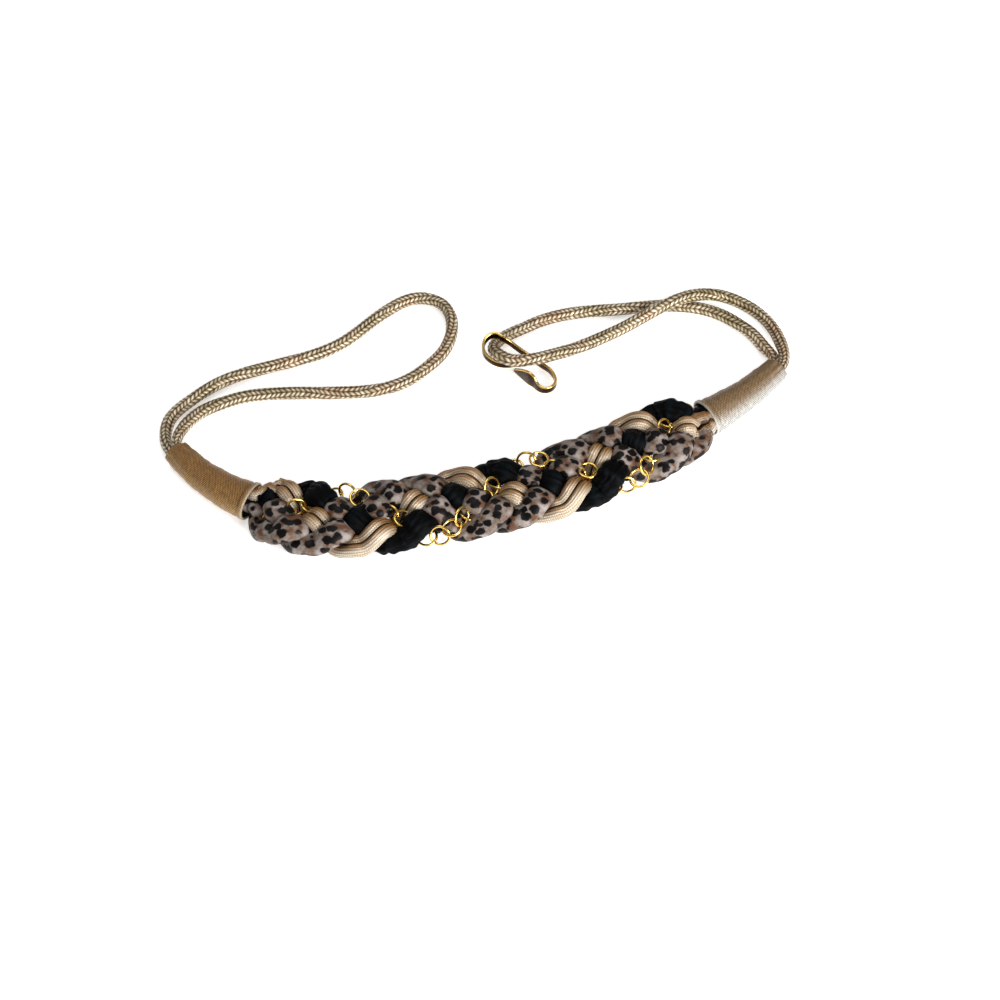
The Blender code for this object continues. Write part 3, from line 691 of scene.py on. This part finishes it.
def tube(name, node, lines, links, outline, relief, shift=0.0, fan=0.0):
    """A strand's surface: its free outline, pressed in where it is held, with its own relief.
    A fan of 1 doubles its width just outside the right sleeve, and half as much at the left."""
    rough_line, rough_squeeze = lines[node]
    line = smooth_curve(rough_line, STRAND_STEP)
    along = lengths_along(line)
    squeeze = np.interp(along, lengths_along(rough_line), rough_squeeze)
    squeeze = np.maximum(squeeze, MOUTH_FILL)[:, None]
    _, sideways, upward = frames(line)
    from_right = along[-1] - along
    opened = ease((FAN_LENGTH - from_right) / FAN_EASE) * ease((from_right - FAN_END) / FAN_END)
    opened += 0.5 * ease((FAN_LENGTH - along) / FAN_EASE) * ease((along - FAN_END) / FAN_END)
    opened = fan * opened[:, None]
    line = drawn_in(line + shift * (1 + opened) * sideways * squeeze, TUBE_CORE)
    coarse = np.arange(0, len(line), 2)
    angles = np.arange(RAYS) * tau / RAYS - tau / 4
    rays = spokes(angles, sideways[coarse], upward[coarse])
    full = outline(angles[None, :], 1 + opened[coarse]) * squeeze[coarse]
    allowance = PRESSED_IN + FAN_LAP * opened[coarse, 0]
    widening = 1 + opened[coarse, 0]
    held = pressed_radius(node, line[coarse], widening, allowance, rays, full, lines, links)
    held = np.minimum(blurred(held.copy(), 3), held + SOFT_EDGE)
    held = refined(held / full, coarse, STRAND_SIDES, len(line))
    angles = np.arange(STRAND_SIDES) * tau / STRAND_SIDES - tau / 4
    full = outline(angles[None, :], 1 + opened) * squeeze
    free = np.clip(blurred(held.copy(), 2), 0, 1)
    height = relief(along[:, None], angles[None, :])
    radius = np.maximum(full * held + height * free**2 * squeeze, LEAST_RADIUS)
    facing = spokes(angles, sideways, upward)
    rings = line[:, None, :] + facing * radius[:, :, None]
    rings[:, :, 2] = np.maximum(rings[:, :, 2], TUBE_CLEARANCE)
    # The held field darkens the leopard satin as painted shade where the tube is pressed in
    field = (height - height.min()) / np.ptp(height)
    # Painted shade: a field that browns the surface where it faces away from the front and up
    shade = ease(FRONT_SHADE + BACK_SHADE * facing[:, :, 1] + TOP_SHADE * facing[:, :, 2])
    return skin(name, rings, {"relief": field, "held": 1 - free, "shade": shade})


def spokes(angles, sideways, upward):
    """Directions of rays round each point of a line, the first one straight down."""
    return np.cos(angles)[None, :, None] * sideways[:, None, :] + (
        np.sin(angles)[None, :, None] * upward[:, None, :])


def ease(share):
    share = np.clip(share, 0, 1)
    return share * share * (3 - 2 * share)


def oval(wide, high, power=2.3):
    """The free outline of a stuffed tube, a little squarer than an ellipse."""
    def outline(angles, widening):
        return (np.abs(np.cos(angles) / (wide * widening)) ** power
                + np.abs(np.sin(angles) / high) ** power) ** (-1 / power)
    return outline


def waves(rows, seed):
    """A sum of folds: rows of height, wavelength along the piece, and turns round it."""
    phases = np.random.default_rng(seed).uniform(0, tau, (len(rows), 3))

    def relief(along, angles):
        total = 0.0 * along * angles
        for (height, length, turns), (first, second, third) in zip(rows, phases):
            slow = 0.7 * np.sin(along * tau / (5 * length) + third)
            swing = first + 0.9 * np.sin(angles + second) + slow
            total = total + height * np.sin(along * tau / length + turns * angles + swing)
        return total
    return relief


def ribbing(inner):
    """Ribs along a cord, rounded on top, with a deep groove where the next cord lies against it."""
    def relief(along, angles):
        off = (angles - inner + pi) % tau - pi
        ribs = RIB_DEPTH * np.abs(np.cos(RIBS / 2 * angles)) ** 0.7
        return ribs - 2.5 * RIB_DEPTH * np.exp(-((off / GROOVE_WIDTH) ** 4)) + 0 * along
    return relief


# Settings that several nodes share
MULTIPLY = {"operation": "MULTIPLY"}
SUM = {"operation": "ADD"}
BLEND = {"data_type": "RGBA"}
MULTIPLY_COLOURS = {"data_type": "RGBA", "blend_type": "MULTIPLY"}


def add(tree, kind, settings=None, out=0, **links):
    """Adds a node and gives the output asked for. Each input, by its name or by its number after
    an i, is linked to an output or set to a value. Stops are a ramp's places and hex colours."""
    node = tree.nodes.new(kind)
    for key, value in (settings or {}).items():
        if key != "stops":
            setattr(node, key, value)
            continue
        while len(node.color_ramp.elements) < len(value):
            node.color_ramp.elements.new(0.5)
        for element, (spot, colour) in zip(node.color_ramp.elements, value):
            element.position = spot
            element.color = linear(colour)
    for key, value in links.items():
        numbered = key[0] == "i" and key[1:].isdigit()
        spot = node.inputs[int(key[1:])] if numbered else node.inputs[key.replace("_", " ")]
        if isinstance(value, bpy.types.NodeSocket):
            tree.links.new(value, spot)
        else:
            spot.default_value = value
    return node.outputs[out]


def new_material(name, roughness, metallic, **sockets):
    material = bpy.data.materials.new(name)
    material.use_nodes = True
    tree = material.node_tree
    shader = tree.nodes["Principled BSDF"]
    shader.inputs["Roughness"].default_value = roughness
    shader.inputs["Metallic"].default_value = metallic
    for key, value in sockets.items():
        shader.inputs[key.replace("_", " ")].default_value = value
    return material, tree, shader


def surface_place(tree, along_mm, round_mm):
    """The piece's UV map, in metres, scaled so that one unit is a size in millimetres."""
    chart = add(tree, "ShaderNodeUVMap", {"uv_map": "surface"})
    scale = (1000 / along_mm, 1000 / round_mm, 1.0)
    return add(tree, "ShaderNodeMapping", Vector=chart, Scale=scale)


def braided_lurex():
    """Braided metallic yarn: pale satin strokes, with painted shade darkening the grooves between
    them.
    """
    material, tree, shader = new_material("braided_lurex_cord", 0.3, 0.3)
    relief = add(tree, "ShaderNodeAttribute", {"attribute_name": "relief"}, out="Fac")
    # Painted shade: the tone darkens with the relief, deepest in the grooves between strokes
    stops = ((0.0, "241A0E"), (0.25, "5E4D34"), (0.55, "A89778"), (0.85, "F4ECDC"))
    tone = add(tree, "ShaderNodeValToRGB", {"stops": stops}, Fac=relief)
    # Warmer and cooler stretches, a few centimetres long
    spot = add(tree, "ShaderNodeTexCoord", out="Object")
    drift = add(tree, "ShaderNodeTexNoise", Vector=spot, Scale=38.0, Detail=2.0)
    stops = ((0.35, "C9BE9C"), (0.5, "EFE8DA"), (0.65, "EACDB6"))
    tint = add(tree, "ShaderNodeValToRGB", {"stops": stops}, Fac=drift)
    toned = add(tree, "ShaderNodeMix", MULTIPLY_COLOURS, out=2, i0=0.75, i6=tone, i7=tint)
    tree.links.new(toned, shader.inputs["Base Color"])
    # Yarns of 0.25 mm lie along each stroke
    yarn = add(tree, "ShaderNodeTexNoise", Vector=surface_place(tree, 0.25, 0.5), Scale=1.0)
    bump = add(tree, "ShaderNodeBump", Height=yarn, Strength=0.6, Distance=0.0002)
    tree.links.new(bump, shader.inputs["Normal"])
    return material


def lattice(tree, place_mm, along_mm, round_mm):
    """Rows of stitches, each row set off by half a stitch: 0 between them to 1 on top."""
    along = add(tree, "ShaderNodeSeparateXYZ", Vector=place_mm)
    first = add(tree, "ShaderNodeMath", MULTIPLY, i0=along, i1=pi / along_mm)
    second = add(tree, "ShaderNodeMath", MULTIPLY, i0=along.node.outputs[1], i1=pi / round_mm)
    rising = add(tree, "ShaderNodeMath", SUM, i0=first, i1=second)
    falling = add(tree, "ShaderNodeMath", {"operation": "SUBTRACT"}, i0=first, i1=second)
    rising = add(tree, "ShaderNodeMath", {"operation": "SINE"}, i0=rising)
    falling = add(tree, "ShaderNodeMath", {"operation": "SINE"}, i0=falling)
    crossed = add(tree, "ShaderNodeMath", MULTIPLY, i0=rising, i1=falling)
    return add(tree, "ShaderNodeMath", {"operation": "ABSOLUTE"}, i0=crossed)


def ribbed_lurex():
    """Flat knitted cord of metallic yarn: satin ribs with rows of bright stitches, painted glints;
    painted shade darkens its grooves and browns it where it turns away, leaving it silvery where it
    faces the front."""
    material, tree, shader = new_material("ribbed_lurex_cord", 0.28, 0.25, Specular_IOR_Level=0.8)
    relief = add(tree, "ShaderNodeAttribute", {"attribute_name": "relief"}, out="Fac")
    shade = add(tree, "ShaderNodeAttribute", {"attribute_name": "shade"}, out="Fac")
    place_mm = surface_place(tree, 1.0, 1.0)
    # Stitches are 1.3 mm apart along a rib, drawn a little coarser than the real ones; their tops
    # are whitened as painted glints
    stitch = lattice(tree, place_mm, 1.3, 1.5)
    patch = add(tree, "ShaderNodeTexNoise", Vector=place_mm, Scale=0.12)
    # Painted shade: the tone darkens with the relief, deepest in the groove where the two cords lie
    # together
    stops = ((0.0, "1A1108"), (0.45, "5E4A2E"), (0.75, "BFAB8A"), (1.0, "F6F1E8"))
    tone = add(tree, "ShaderNodeValToRGB", {"stops": stops}, Fac=relief)
    # Painted glint: the stitch tops are whitened and the gaps between them darkened
    stops = ((0.0, "705C3E"), (0.35, "CFC0A2"), (0.8, "FFFFFF"))
    glint = add(tree, "ShaderNodeValToRGB", {"stops": stops}, Fac=stitch)
    stops = ((0.4, "D2B182"), (0.6, "FFFFFF"))
    tint = add(tree, "ShaderNodeValToRGB", {"stops": stops}, Fac=patch)
    stitched = add(tree, "ShaderNodeMix", MULTIPLY_COLOURS, out=2, i0=0.75, i6=tone, i7=glint)
    toned = add(tree, "ShaderNodeMix", MULTIPLY_COLOURS, out=2, i0=0.5, i6=stitched, i7=tint)
    # Painted shade: the cord is browned where it faces away from the front and up
    painted_shade_colour = add(tree, "ShaderNodeMix", MULTIPLY_COLOURS, out=2, i0=shade, i6=toned,
                  i7=linear("D0A670"))
    tree.links.new(painted_shade_colour, shader.inputs["Base Color"])
    bump = add(tree, "ShaderNodeBump", Height=stitch, Strength=0.5, Distance=0.0003)
    tree.links.new(bump, shader.inputs["Normal"])
    return material


def lame_knit(name, dark, middle, light, hem, shade):
    """Fine metallic knit: staggered crosswise stitches whose tops glint as painted highlights on a
    ground darkened as painted shade, with one side browned by painted shade.
    """
    material, tree, shader = new_material(name, 0.4, 0.25)
    # Stitches of 1.1 by 1.7 mm, about twice as coarse as the real ones, so that they show
    stitch = lattice(tree, surface_place(tree, 1.0, 1.0), 1.1, 1.7)
    uneven = add(tree, "ShaderNodeTexNoise", Vector=surface_place(tree, 1.3, 2.2), Scale=1.0,
                 Detail=3.0, Roughness=0.65)
    even = add(tree, "ShaderNodeMath", MULTIPLY, i0=stitch, i1=0.45)
    uneven = add(tree, "ShaderNodeMath", MULTIPLY, i0=uneven, i1=0.55)
    height = add(tree, "ShaderNodeMath", SUM, i0=even, i1=uneven)
    # Painted glint and shade: stitch tops are lightened and the gaps between them darkened
    stops = ((0.24, dark), (0.42, middle), (0.68, light))
    tone = add(tree, "ShaderNodeValToRGB", {"stops": stops}, Fac=height)
    # Painted shade: the knit is browned on the side that faces away and up
    away = add(tree, "ShaderNodeAttribute", {"attribute_name": "shade"}, out="Fac")
    toned = add(tree, "ShaderNodeMix", MULTIPLY_COLOURS, out=2, i0=away, i6=tone, i7=linear(shade))
    edge = add(tree, "ShaderNodeAttribute", {"attribute_name": "hem"}, out="Fac")
    edged = add(tree, "ShaderNodeMix", BLEND, out=2, i0=edge, i6=toned, i7=linear(hem))
    tree.links.new(edged, shader.inputs["Base Color"])
    bump = add(tree, "ShaderNodeBump", Height=height, Strength=0.7, Distance=0.0005)
    tree.links.new(bump, shader.inputs["Normal"])
    return material


def crinkled_black():
    """Crinkled black cloth: matt, nearly black, with a cold painted sheen on the crests of its
    folds and crinkles.
    """
    material, tree, shader = new_material("crinkled_black_cloth", 0.6, 0.0, Specular_IOR_Level=0.06)
    folds = add(tree, "ShaderNodeAttribute", {"attribute_name": "relief"}, out="Fac")
    # Crinkles of 0.7 mm run along the tube, each about 6 mm long
    crinkle = add(tree, "ShaderNodeTexNoise", Vector=surface_place(tree, 6.0, 0.7), Scale=1.0,
                  Detail=3.0)
    halved = add(tree, "ShaderNodeMath", MULTIPLY, i0=crinkle, i1=0.5)
    height = add(tree, "ShaderNodeMath", SUM, i0=folds, i1=halved)
    # Painted sheen: the crests of folds and crinkles are lightened to a cold blue-black
    stops = ((0.5, "010101"), (0.8, "020304"), (1.0, "070D11"))
    tone = add(tree, "ShaderNodeValToRGB", {"stops": stops}, Fac=height)
    tree.links.new(tone, shader.inputs["Base Color"])
    bump = add(tree, "ShaderNodeBump", Height=crinkle, Strength=0.7, Distance=0.0008)
    tree.links.new(bump, shader.inputs["Normal"])
    return material


def leopard_satin():
    """Printed satin: a mottled taupe and sand ground with soft-edged dark spots."""
    material, tree, shader = new_material("printed_leopard_satin", 0.42, 0.0,
                                          Specular_IOR_Level=0.14)
    # In millimetres, turned, with spots a quarter longer one way
    spot = add(tree, "ShaderNodeTexCoord", out="Object")
    flat = add(tree, "ShaderNodeMapping", Vector=spot, Rotation=(0.0, 0.0, 0.7),
               Scale=(1000.0, 1250.0, 1000.0))
    # The print wanders by a millimetre or two, which makes the spots uneven
    wander = add(tree, "ShaderNodeTexNoise", out="Color", Vector=flat, Scale=0.3, Detail=2.0)
    moved = add(tree, "ShaderNodeVectorMath", {"operation": "MULTIPLY_ADD"}, i0=wander,
                i1=(3.4, 3.4, 3.4), i2=flat)
    # A cell of 6.1 mm holds one spot
    cells = add(tree, "ShaderNodeTexVoronoi", Vector=moved, Scale=1 / 6.1, Randomness=0.7)
    size = add(tree, "ShaderNodeTexNoise", Vector=flat, Scale=0.16)
    size = add(tree, "ShaderNodeMath", MULTIPLY, i0=size, i1=0.45)
    edge = add(tree, "ShaderNodeMath", {"operation": "SUBTRACT"}, i0=cells, i1=size)
    stops = ((0.195, "FFFFFF"), (0.255, "000000"))
    spot = add(tree, "ShaderNodeValToRGB", {"stops": stops}, Fac=edge)
    stops = ((0.22, "B0B0B0"), (0.38, "000000"))
    halo = add(tree, "ShaderNodeValToRGB", {"stops": stops}, Fac=edge)
    ground = add(tree, "ShaderNodeTexNoise", Vector=flat, Scale=0.17, Detail=3.0)
    stops = ((0.38, "5F412F"), (0.49, "776A61"), (0.64, "968C86"))
    base = add(tree, "ShaderNodeValToRGB", {"stops": stops}, Fac=ground)
    haloed = add(tree, "ShaderNodeMix", BLEND, out=2, i0=halo, i6=base, i7=linear("3C2A20"))
    printed = add(tree, "ShaderNodeMix", BLEND, out=2, i0=spot, i6=haloed, i7=linear("090606"))
    # Painted shade: the satin is darkened where neighbouring strands press on it
    held = add(tree, "ShaderNodeAttribute", {"attribute_name": "held"}, out="Fac")
    contact_shade_painted = add(tree, "ShaderNodeMix", BLEND, out=2, i0=held, i6=printed, i7=linear("14100D"))
    tree.links.new(contact_shade_painted, shader.inputs["Base Color"])
    # Threads of 0.3 mm
    weave = add(tree, "ShaderNodeTexNoise", Vector=surface_place(tree, 0.3, 0.3), Scale=1.0)
    bump = add(tree, "ShaderNodeBump", Height=weave, Strength=0.25, Distance=0.0002)
    tree.links.new(bump, shader.inputs["Normal"])
    return material


def polished_gold(name, roughness, deep, bright):
    """Gold plating on metal: brighter in random worn patches and where a painted highlight falls,
    and deeper brown elsewhere.
    """
    material, tree, shader = new_material(name, roughness, 1.0)
    spot = add(tree, "ShaderNodeTexCoord", out="Object")
    # Worn patches of about 4 mm
    wear = add(tree, "ShaderNodeTexNoise", Vector=spot, Scale=260.0, Detail=2.0)
    wear = add(tree, "ShaderNodeMath", MULTIPLY, i0=wear, i1=0.35)
    # Painted highlight: a field that each piece brightens on its faces turned up or on its rounded
    # edges
    edges = add(tree, "ShaderNodeAttribute", {"attribute_name": "rubbed"}, out="Fac")
    rubbed = add(tree, "ShaderNodeMath", SUM, i0=wear, i1=edges)
    tone = add(tree, "ShaderNodeValToRGB", {"stops": ((0.21, deep), (0.75, bright))}, Fac=rubbed)
    tree.links.new(tone, shader.inputs["Base Color"])
    return material


def scattered(first, second):
    """A share from 0 to 1 for each pair of whole numbers, as good as drawn by chance."""
    return (np.sin(first * 12.9898 + second * 78.233) * 43758.5453) % 1


def braided_cord(name, node, route, material):
    """A loop of round braided cord; each stroke of its herringbone braid stands proud."""
    line = smooth_curve(route, CORD_STEP)
    along = lengths_along(line)
    _, sideways, upward = frames(line)
    angles = (np.arange(CORD_SIDES) + 0.5) * tau / CORD_SIDES
    long, short = WANDER_LENGTHS
    turn = BRAID_WANDER * (np.sin(along * tau / long) + 0.6 * np.sin(along * tau / short + 1.0))
    column = (angles[None, :] / tau * BRAID_COLUMNS + turn[:, None]) % BRAID_COLUMNS
    across = column % 1
    leaning = np.where(np.floor(column) % 2 == 0, 1.0, -1.0)
    loose = LOOSENESS * np.sin(along * tau / LOOSE_LENGTH)[:, None]
    stroke = along[:, None] / BRAID_PITCH + leaning * BRAID_LEAN * (across - 0.5) + loose
    relief = np.abs(np.sin(pi * stroke)) ** 0.75 * (1 - np.abs(2 * across - 1) ** 3.5)
    uneven = (1 - EVEN_STROKES) * scattered(np.floor(stroke), np.floor(column))
    relief = relief * (EVEN_STROKES + uneven)
    from_end = np.minimum(along, along[-1] - along)
    swelling = np.clip((from_end - PINCH_LENGTH) / PINCH_EASE, 0, 1)
    pinch = (CORD_PINCH + (1 - CORD_PINCH) * swelling)[:, None]
    radius = (CORD_DIAMETER / 2 + BRAID_DEPTH * (relief - BRAID_MIDDLE)) * pinch
    rings = line[:, None, :] + spokes(angles, sideways, upward) * radius[:, :, None]
    rings[:, :, 2] = np.maximum(rings[:, :, 2], CORD_CLEARANCE)
    piece = skin(name, rings, {"relief": relief})
    dress(piece, material, node)
    return piece


def knitted_sleeve(name, end, material):
    """A tapered sleeve of fine knit with a folded hem at its mouth; end is 0 left, 1 right."""
    depths = np.linspace(0, SLEEVE_LENGTH, SLEEVE_ROWS_COUNT)
    angles = -tau / 4 + (np.arange(SLEEVE_SIDES) + 0.5) * tau / SLEEVE_SIDES
    stations = PLAIT_LENGTH + depths if end else -depths
    folds = waves(SLEEVE_FOLDS, 11 + end)
    swell = folds(depths[:, None], angles[None, :])
    hem = np.exp(-(((depths - HEM_WIDTH / 2) / (HEM_WIDTH * 0.55)) ** 4))[:, None]
    crease = np.exp(-(((depths - HEM_WIDTH * 1.2) / CREASE_WIDTH) ** 2))[:, None]
    seam = np.exp(-(((angles - SEAM_ANGLE) / SEAM_WIDTH) ** 2))[None, :]
    # The cloth is drawn into small pleats where it closes on the cords
    drawn = (depths / SLEEVE_LENGTH)[:, None] ** 4
    pleats = drawn * np.sin(GATHERS * angles + 1.3 * np.sin(3 * angles))[None, :]
    swell = swell + HEM_HEIGHT * (hem - crease) + SEAM_HEIGHT * seam + PLEAT_HEIGHT * pleats
    outside, inside = [], []
    for depth, station, extra in zip(depths, stations, swell):
        wide, high = sleeve_size(depth)
        foot = high * sin(-tau / 4 + tau / 32)
        for wall, rings in ((0.0, outside), (SLEEVE_WALL, inside)):
            height = (high + extra - wall) * np.sin(angles) - foot
            reach = (wide + extra - wall) * np.cos(angles)
            rings.append(place(np.full(SLEEVE_SIDES, station), reach, height))
    rings = np.array(outside + inside[::-1])
    rings[:, :, 2] = np.maximum(rings[:, :, 2], 0.0)
    edge = 0.55 * np.exp(-((depths / HEM_EDGE) ** 2))[:, None] + 0.3 * seam
    edge = np.clip(np.concatenate([edge, edge[::-1]]), 0, 1)
    # Painted shade: the knit is browned on the side that faces away and up, and left paler on the
    # side that faces the front
    shade = np.tile(ease(0.5 + 0.75 * np.cos(angles - SHADE_ANGLE)), (len(rings), 1))
    piece = skin(name, rings, {"hem": edge, "shade": shade}, loop=True)
    return dress(piece, material, name.replace("knit_", ""))


def gold_links(name, links, material):
    """Round links of bent wire, each closed and hung through the next."""
    mesh = bmesh.new()
    ring = (RING_DIAMETER - RING_WIRE) / 2
    for centre, ahead, normal in zip(*links):
        across = np.cross(normal, ahead)
        ahead = np.cross(across, normal)
        stand = Matrix([*zip(ahead, across, normal, centre), (0, 0, 0, 1)])
        wire = bmesh.ops.create_circle(mesh, segments=WIRE_SIDES, radius=RING_WIRE / 2)["verts"]
        bmesh.ops.rotate(mesh, verts=wire, matrix=Matrix.Rotation(tau / 4, 3, "X"))
        bmesh.ops.translate(mesh, verts=wire, vec=(ring, 0, 0))
        loop = list({edge for vert in wire for edge in vert.link_edges})
        before = set(mesh.verts) - set(wire)
        bmesh.ops.spin(mesh, geom=wire + loop, axis=(0, 0, 1), cent=(0, 0, 0), dvec=(0, 0, 0),
                       angle=tau, steps=LINK_SIDES, use_merge=True)
        turned = [vert for vert in mesh.verts if vert not in before]
        bmesh.ops.transform(mesh, matrix=stand, verts=turned)
    bmesh.ops.recalc_face_normals(mesh, faces=mesh.faces)
    rubbed = mesh.verts.layers.float.new("rubbed")
    for vert in mesh.verts:
        # Painted highlight: faces turned up are brighter
        vert[rubbed] = 0.5 + 0.5 * max(vert.normal.z, 0)
    return dress(finished(name, mesh), material, "gold_chain")


def strip_hook(name, material):
    """The strip hook, standing on edge, with rounded edges and a hollowed leaf."""
    rows = smooth_curve(np.array(HOOK_ROWS) * HOOK_LENGTH, HOOK_LENGTH / HOOK_STEPS)
    ahead = normalised(np.gradient(rows[:, :2], axis=0))
    east, north = cos(HOOK_HEADING), sin(HOOK_HEADING)
    turn = np.array([[east, north], [-north, east]])
    half = HOOK_THICKNESS / 2
    rounds = np.linspace(0, pi, HOOK_EDGE_POINTS)
    # Painted highlight on the rounded edges, brightest on the top edge; the flat faces keep the
    # deep brown as a painted dark reflection
    rubbed = np.concatenate([np.sin(rounds), 0.8 * np.sin(rounds)]) ** 0.6
    rings = []
    for (along, aside, low, high), (east, north) in zip(rows, ahead):
        offs = np.concatenate([-half * np.cos(rounds), half * np.cos(rounds)])
        top = high - half + half * np.sin(rounds)
        bottom = low + half - half * np.sin(rounds)
        ups = np.concatenate([top, bottom])
        flat = np.stack([along - north * offs, aside + east * offs], axis=1) @ turn + HOOK_PLACE
        rings.append(np.concatenate([flat, ups[:, None]], axis=1))
    rings = np.array(rings)
    fields = {"rubbed": np.tile(rubbed, (len(rings), 1))}
    return dress(skin(name, rings, fields), material, "hook")


def floor():
    mesh = bmesh.new()
    bmesh.ops.create_grid(mesh, x_segments=1, y_segments=1, size=FLOOR_SIZE)
    piece = finished("floor", mesh)
    material, tree, shader = new_material("pale_studio_floor", 0.95, 0.0, Specular_IOR_Level=0.1,
                                          Emission_Strength=0.5)
    shader.inputs["Emission Color"].default_value = (1, 1, 1, 1)
    spot = add(tree, "ShaderNodeTexCoord", out="Object")
    grain = add(tree, "ShaderNodeTexNoise", Vector=spot, Scale=3.0)
    tone = add(tree, "ShaderNodeValToRGB", {"stops": ((0.0, "FAFAFA"), (1.0, "FDFDFD"))}, Fac=grain)
    tree.links.new(tone, shader.inputs["Base Color"])
    piece.data.materials.append(material)


def lamp(name, place_m, aim, size, power, colour="FFFFFF"):
    """A soft square lamp aimed at a point."""
    data = bpy.data.lights.new(name, "AREA")
    data.size = size
    data.energy = power
    data.color = linear(colour)[:3]
    made = bpy.data.objects.new(name, data)
    made.location = place_m
    made.rotation_euler = (Vector(aim) - Vector(place_m)).to_track_quat("-Z", "Y").to_euler()
    bpy.context.scene.collection.objects.link(made)


def studio():
    world = bpy.data.worlds.new("studio")
    world.use_nodes = True
    world.node_tree.nodes["Background"].inputs[0].default_value = WORLD_GREY
    bpy.context.scene.world = world
    lamp("key_front_right", (0.60, -0.75, 0.38), (0.0, 0.0, 0.0), 0.6, 16)
    lamp("overhead", (-0.15, 0.25, 1.3), (0.0, 0.0, 0.0), 0.9, 6)
    camera = bpy.data.objects.new("camera", bpy.data.cameras.new("camera"))
    camera.data.lens = FOCAL_LENGTH
    camera.data.sensor_width = SENSOR_WIDTH
    camera.location = (VIEW_CENTRE[0], VIEW_CENTRE[1] - VIEW_DISTANCE * cos(VIEW_ELEVATION),
                       VIEW_DISTANCE * sin(VIEW_ELEVATION))
    camera.rotation_euler = (pi / 2 - VIEW_ELEVATION, 0, 0)
    bpy.context.scene.collection.objects.link(camera)
    bpy.context.scene.camera = camera
    bpy.context.scene.view_settings.view_transform = "Standard"


def belt():
    champagne, ribbed = braided_lurex(), ribbed_lurex()
    braided_cord("braided_loop_left", "cord_loop_left", LEFT_LOOP, champagne)
    braided_cord("braided_loop_right", "cord_loop_right", RIGHT_LOOP, champagne)
    lines = {}
    for name, phase, lift, gather, tuck in STRANDS:
        breadth = LINK_DIAMETER if name == "gold_chain" else 2 * half_sizes(name)[0]
        lines[name] = strand_line(phase, lift * TUBE_THICKNESS, gather, tuck * TUCK, breadth)
    lines = laid_over(spaced(lines))
    links = link_places(lines["gold_chain"][0])
    gold_links("chain_links", links, polished_gold("gold_plated_links", 0.16, "C08A2E", "F4CC70"))
    leopard = leopard_satin()
    cloth_tube = oval(TUBE_WIDTH / 2, TUBE_THICKNESS / 2)
    soft = waves(LEOPARD_FOLDS, 4)
    for number in (1, 2):
        node = f"leopard_strand_{number}"
        piece = tube(f"leopard_tube_{number}", node, lines, links, cloth_tube, soft)
        dress(piece, leopard, node)
    piece = tube("black_tube", "black_strand", lines, links, cloth_tube, waves(BLACK_FOLDS, 9))
    dress(piece, crinkled_black(), "black_strand")
    half_cord = oval(RIB_CORD_DIAMETER / 2, RIB_CORD_DIAMETER / 2, 2.0)
    for side, shift, inner in (("far", 1, pi), ("near", -1, 0.0)):
        piece = tube(f"ribbed_cord_{side}", "champagne_cord_strand", lines, links, half_cord,
                     ribbing(inner), shift * RIB_CORD_APART / 2, fan=0.8)
        dress(piece, ribbed, "champagne_cord_strand")
    # The last colour of each knit is the brown of its painted shade
    bronze = lame_knit("lame_knit_bronze", "553C1E", "8A683C", "C49C60", "C9C0AC", "E0D0B4")
    knitted_sleeve("knit_sleeve_left", 0, bronze)
    pale = lame_knit("lame_knit_pale", "5C574D", "9B9A92", "D8DBDA", "CFCECA", "C29A6C")
    knitted_sleeve("knit_sleeve_right", 1, pale)
    # The hook's deep colour is a nearly black brown, a painted dark reflection on its flat faces
    strip_hook("gold_hook", polished_gold("gold_plated_strip", 0.2, "2C1908", "FBD07A"))


belt()
floor()
studio()
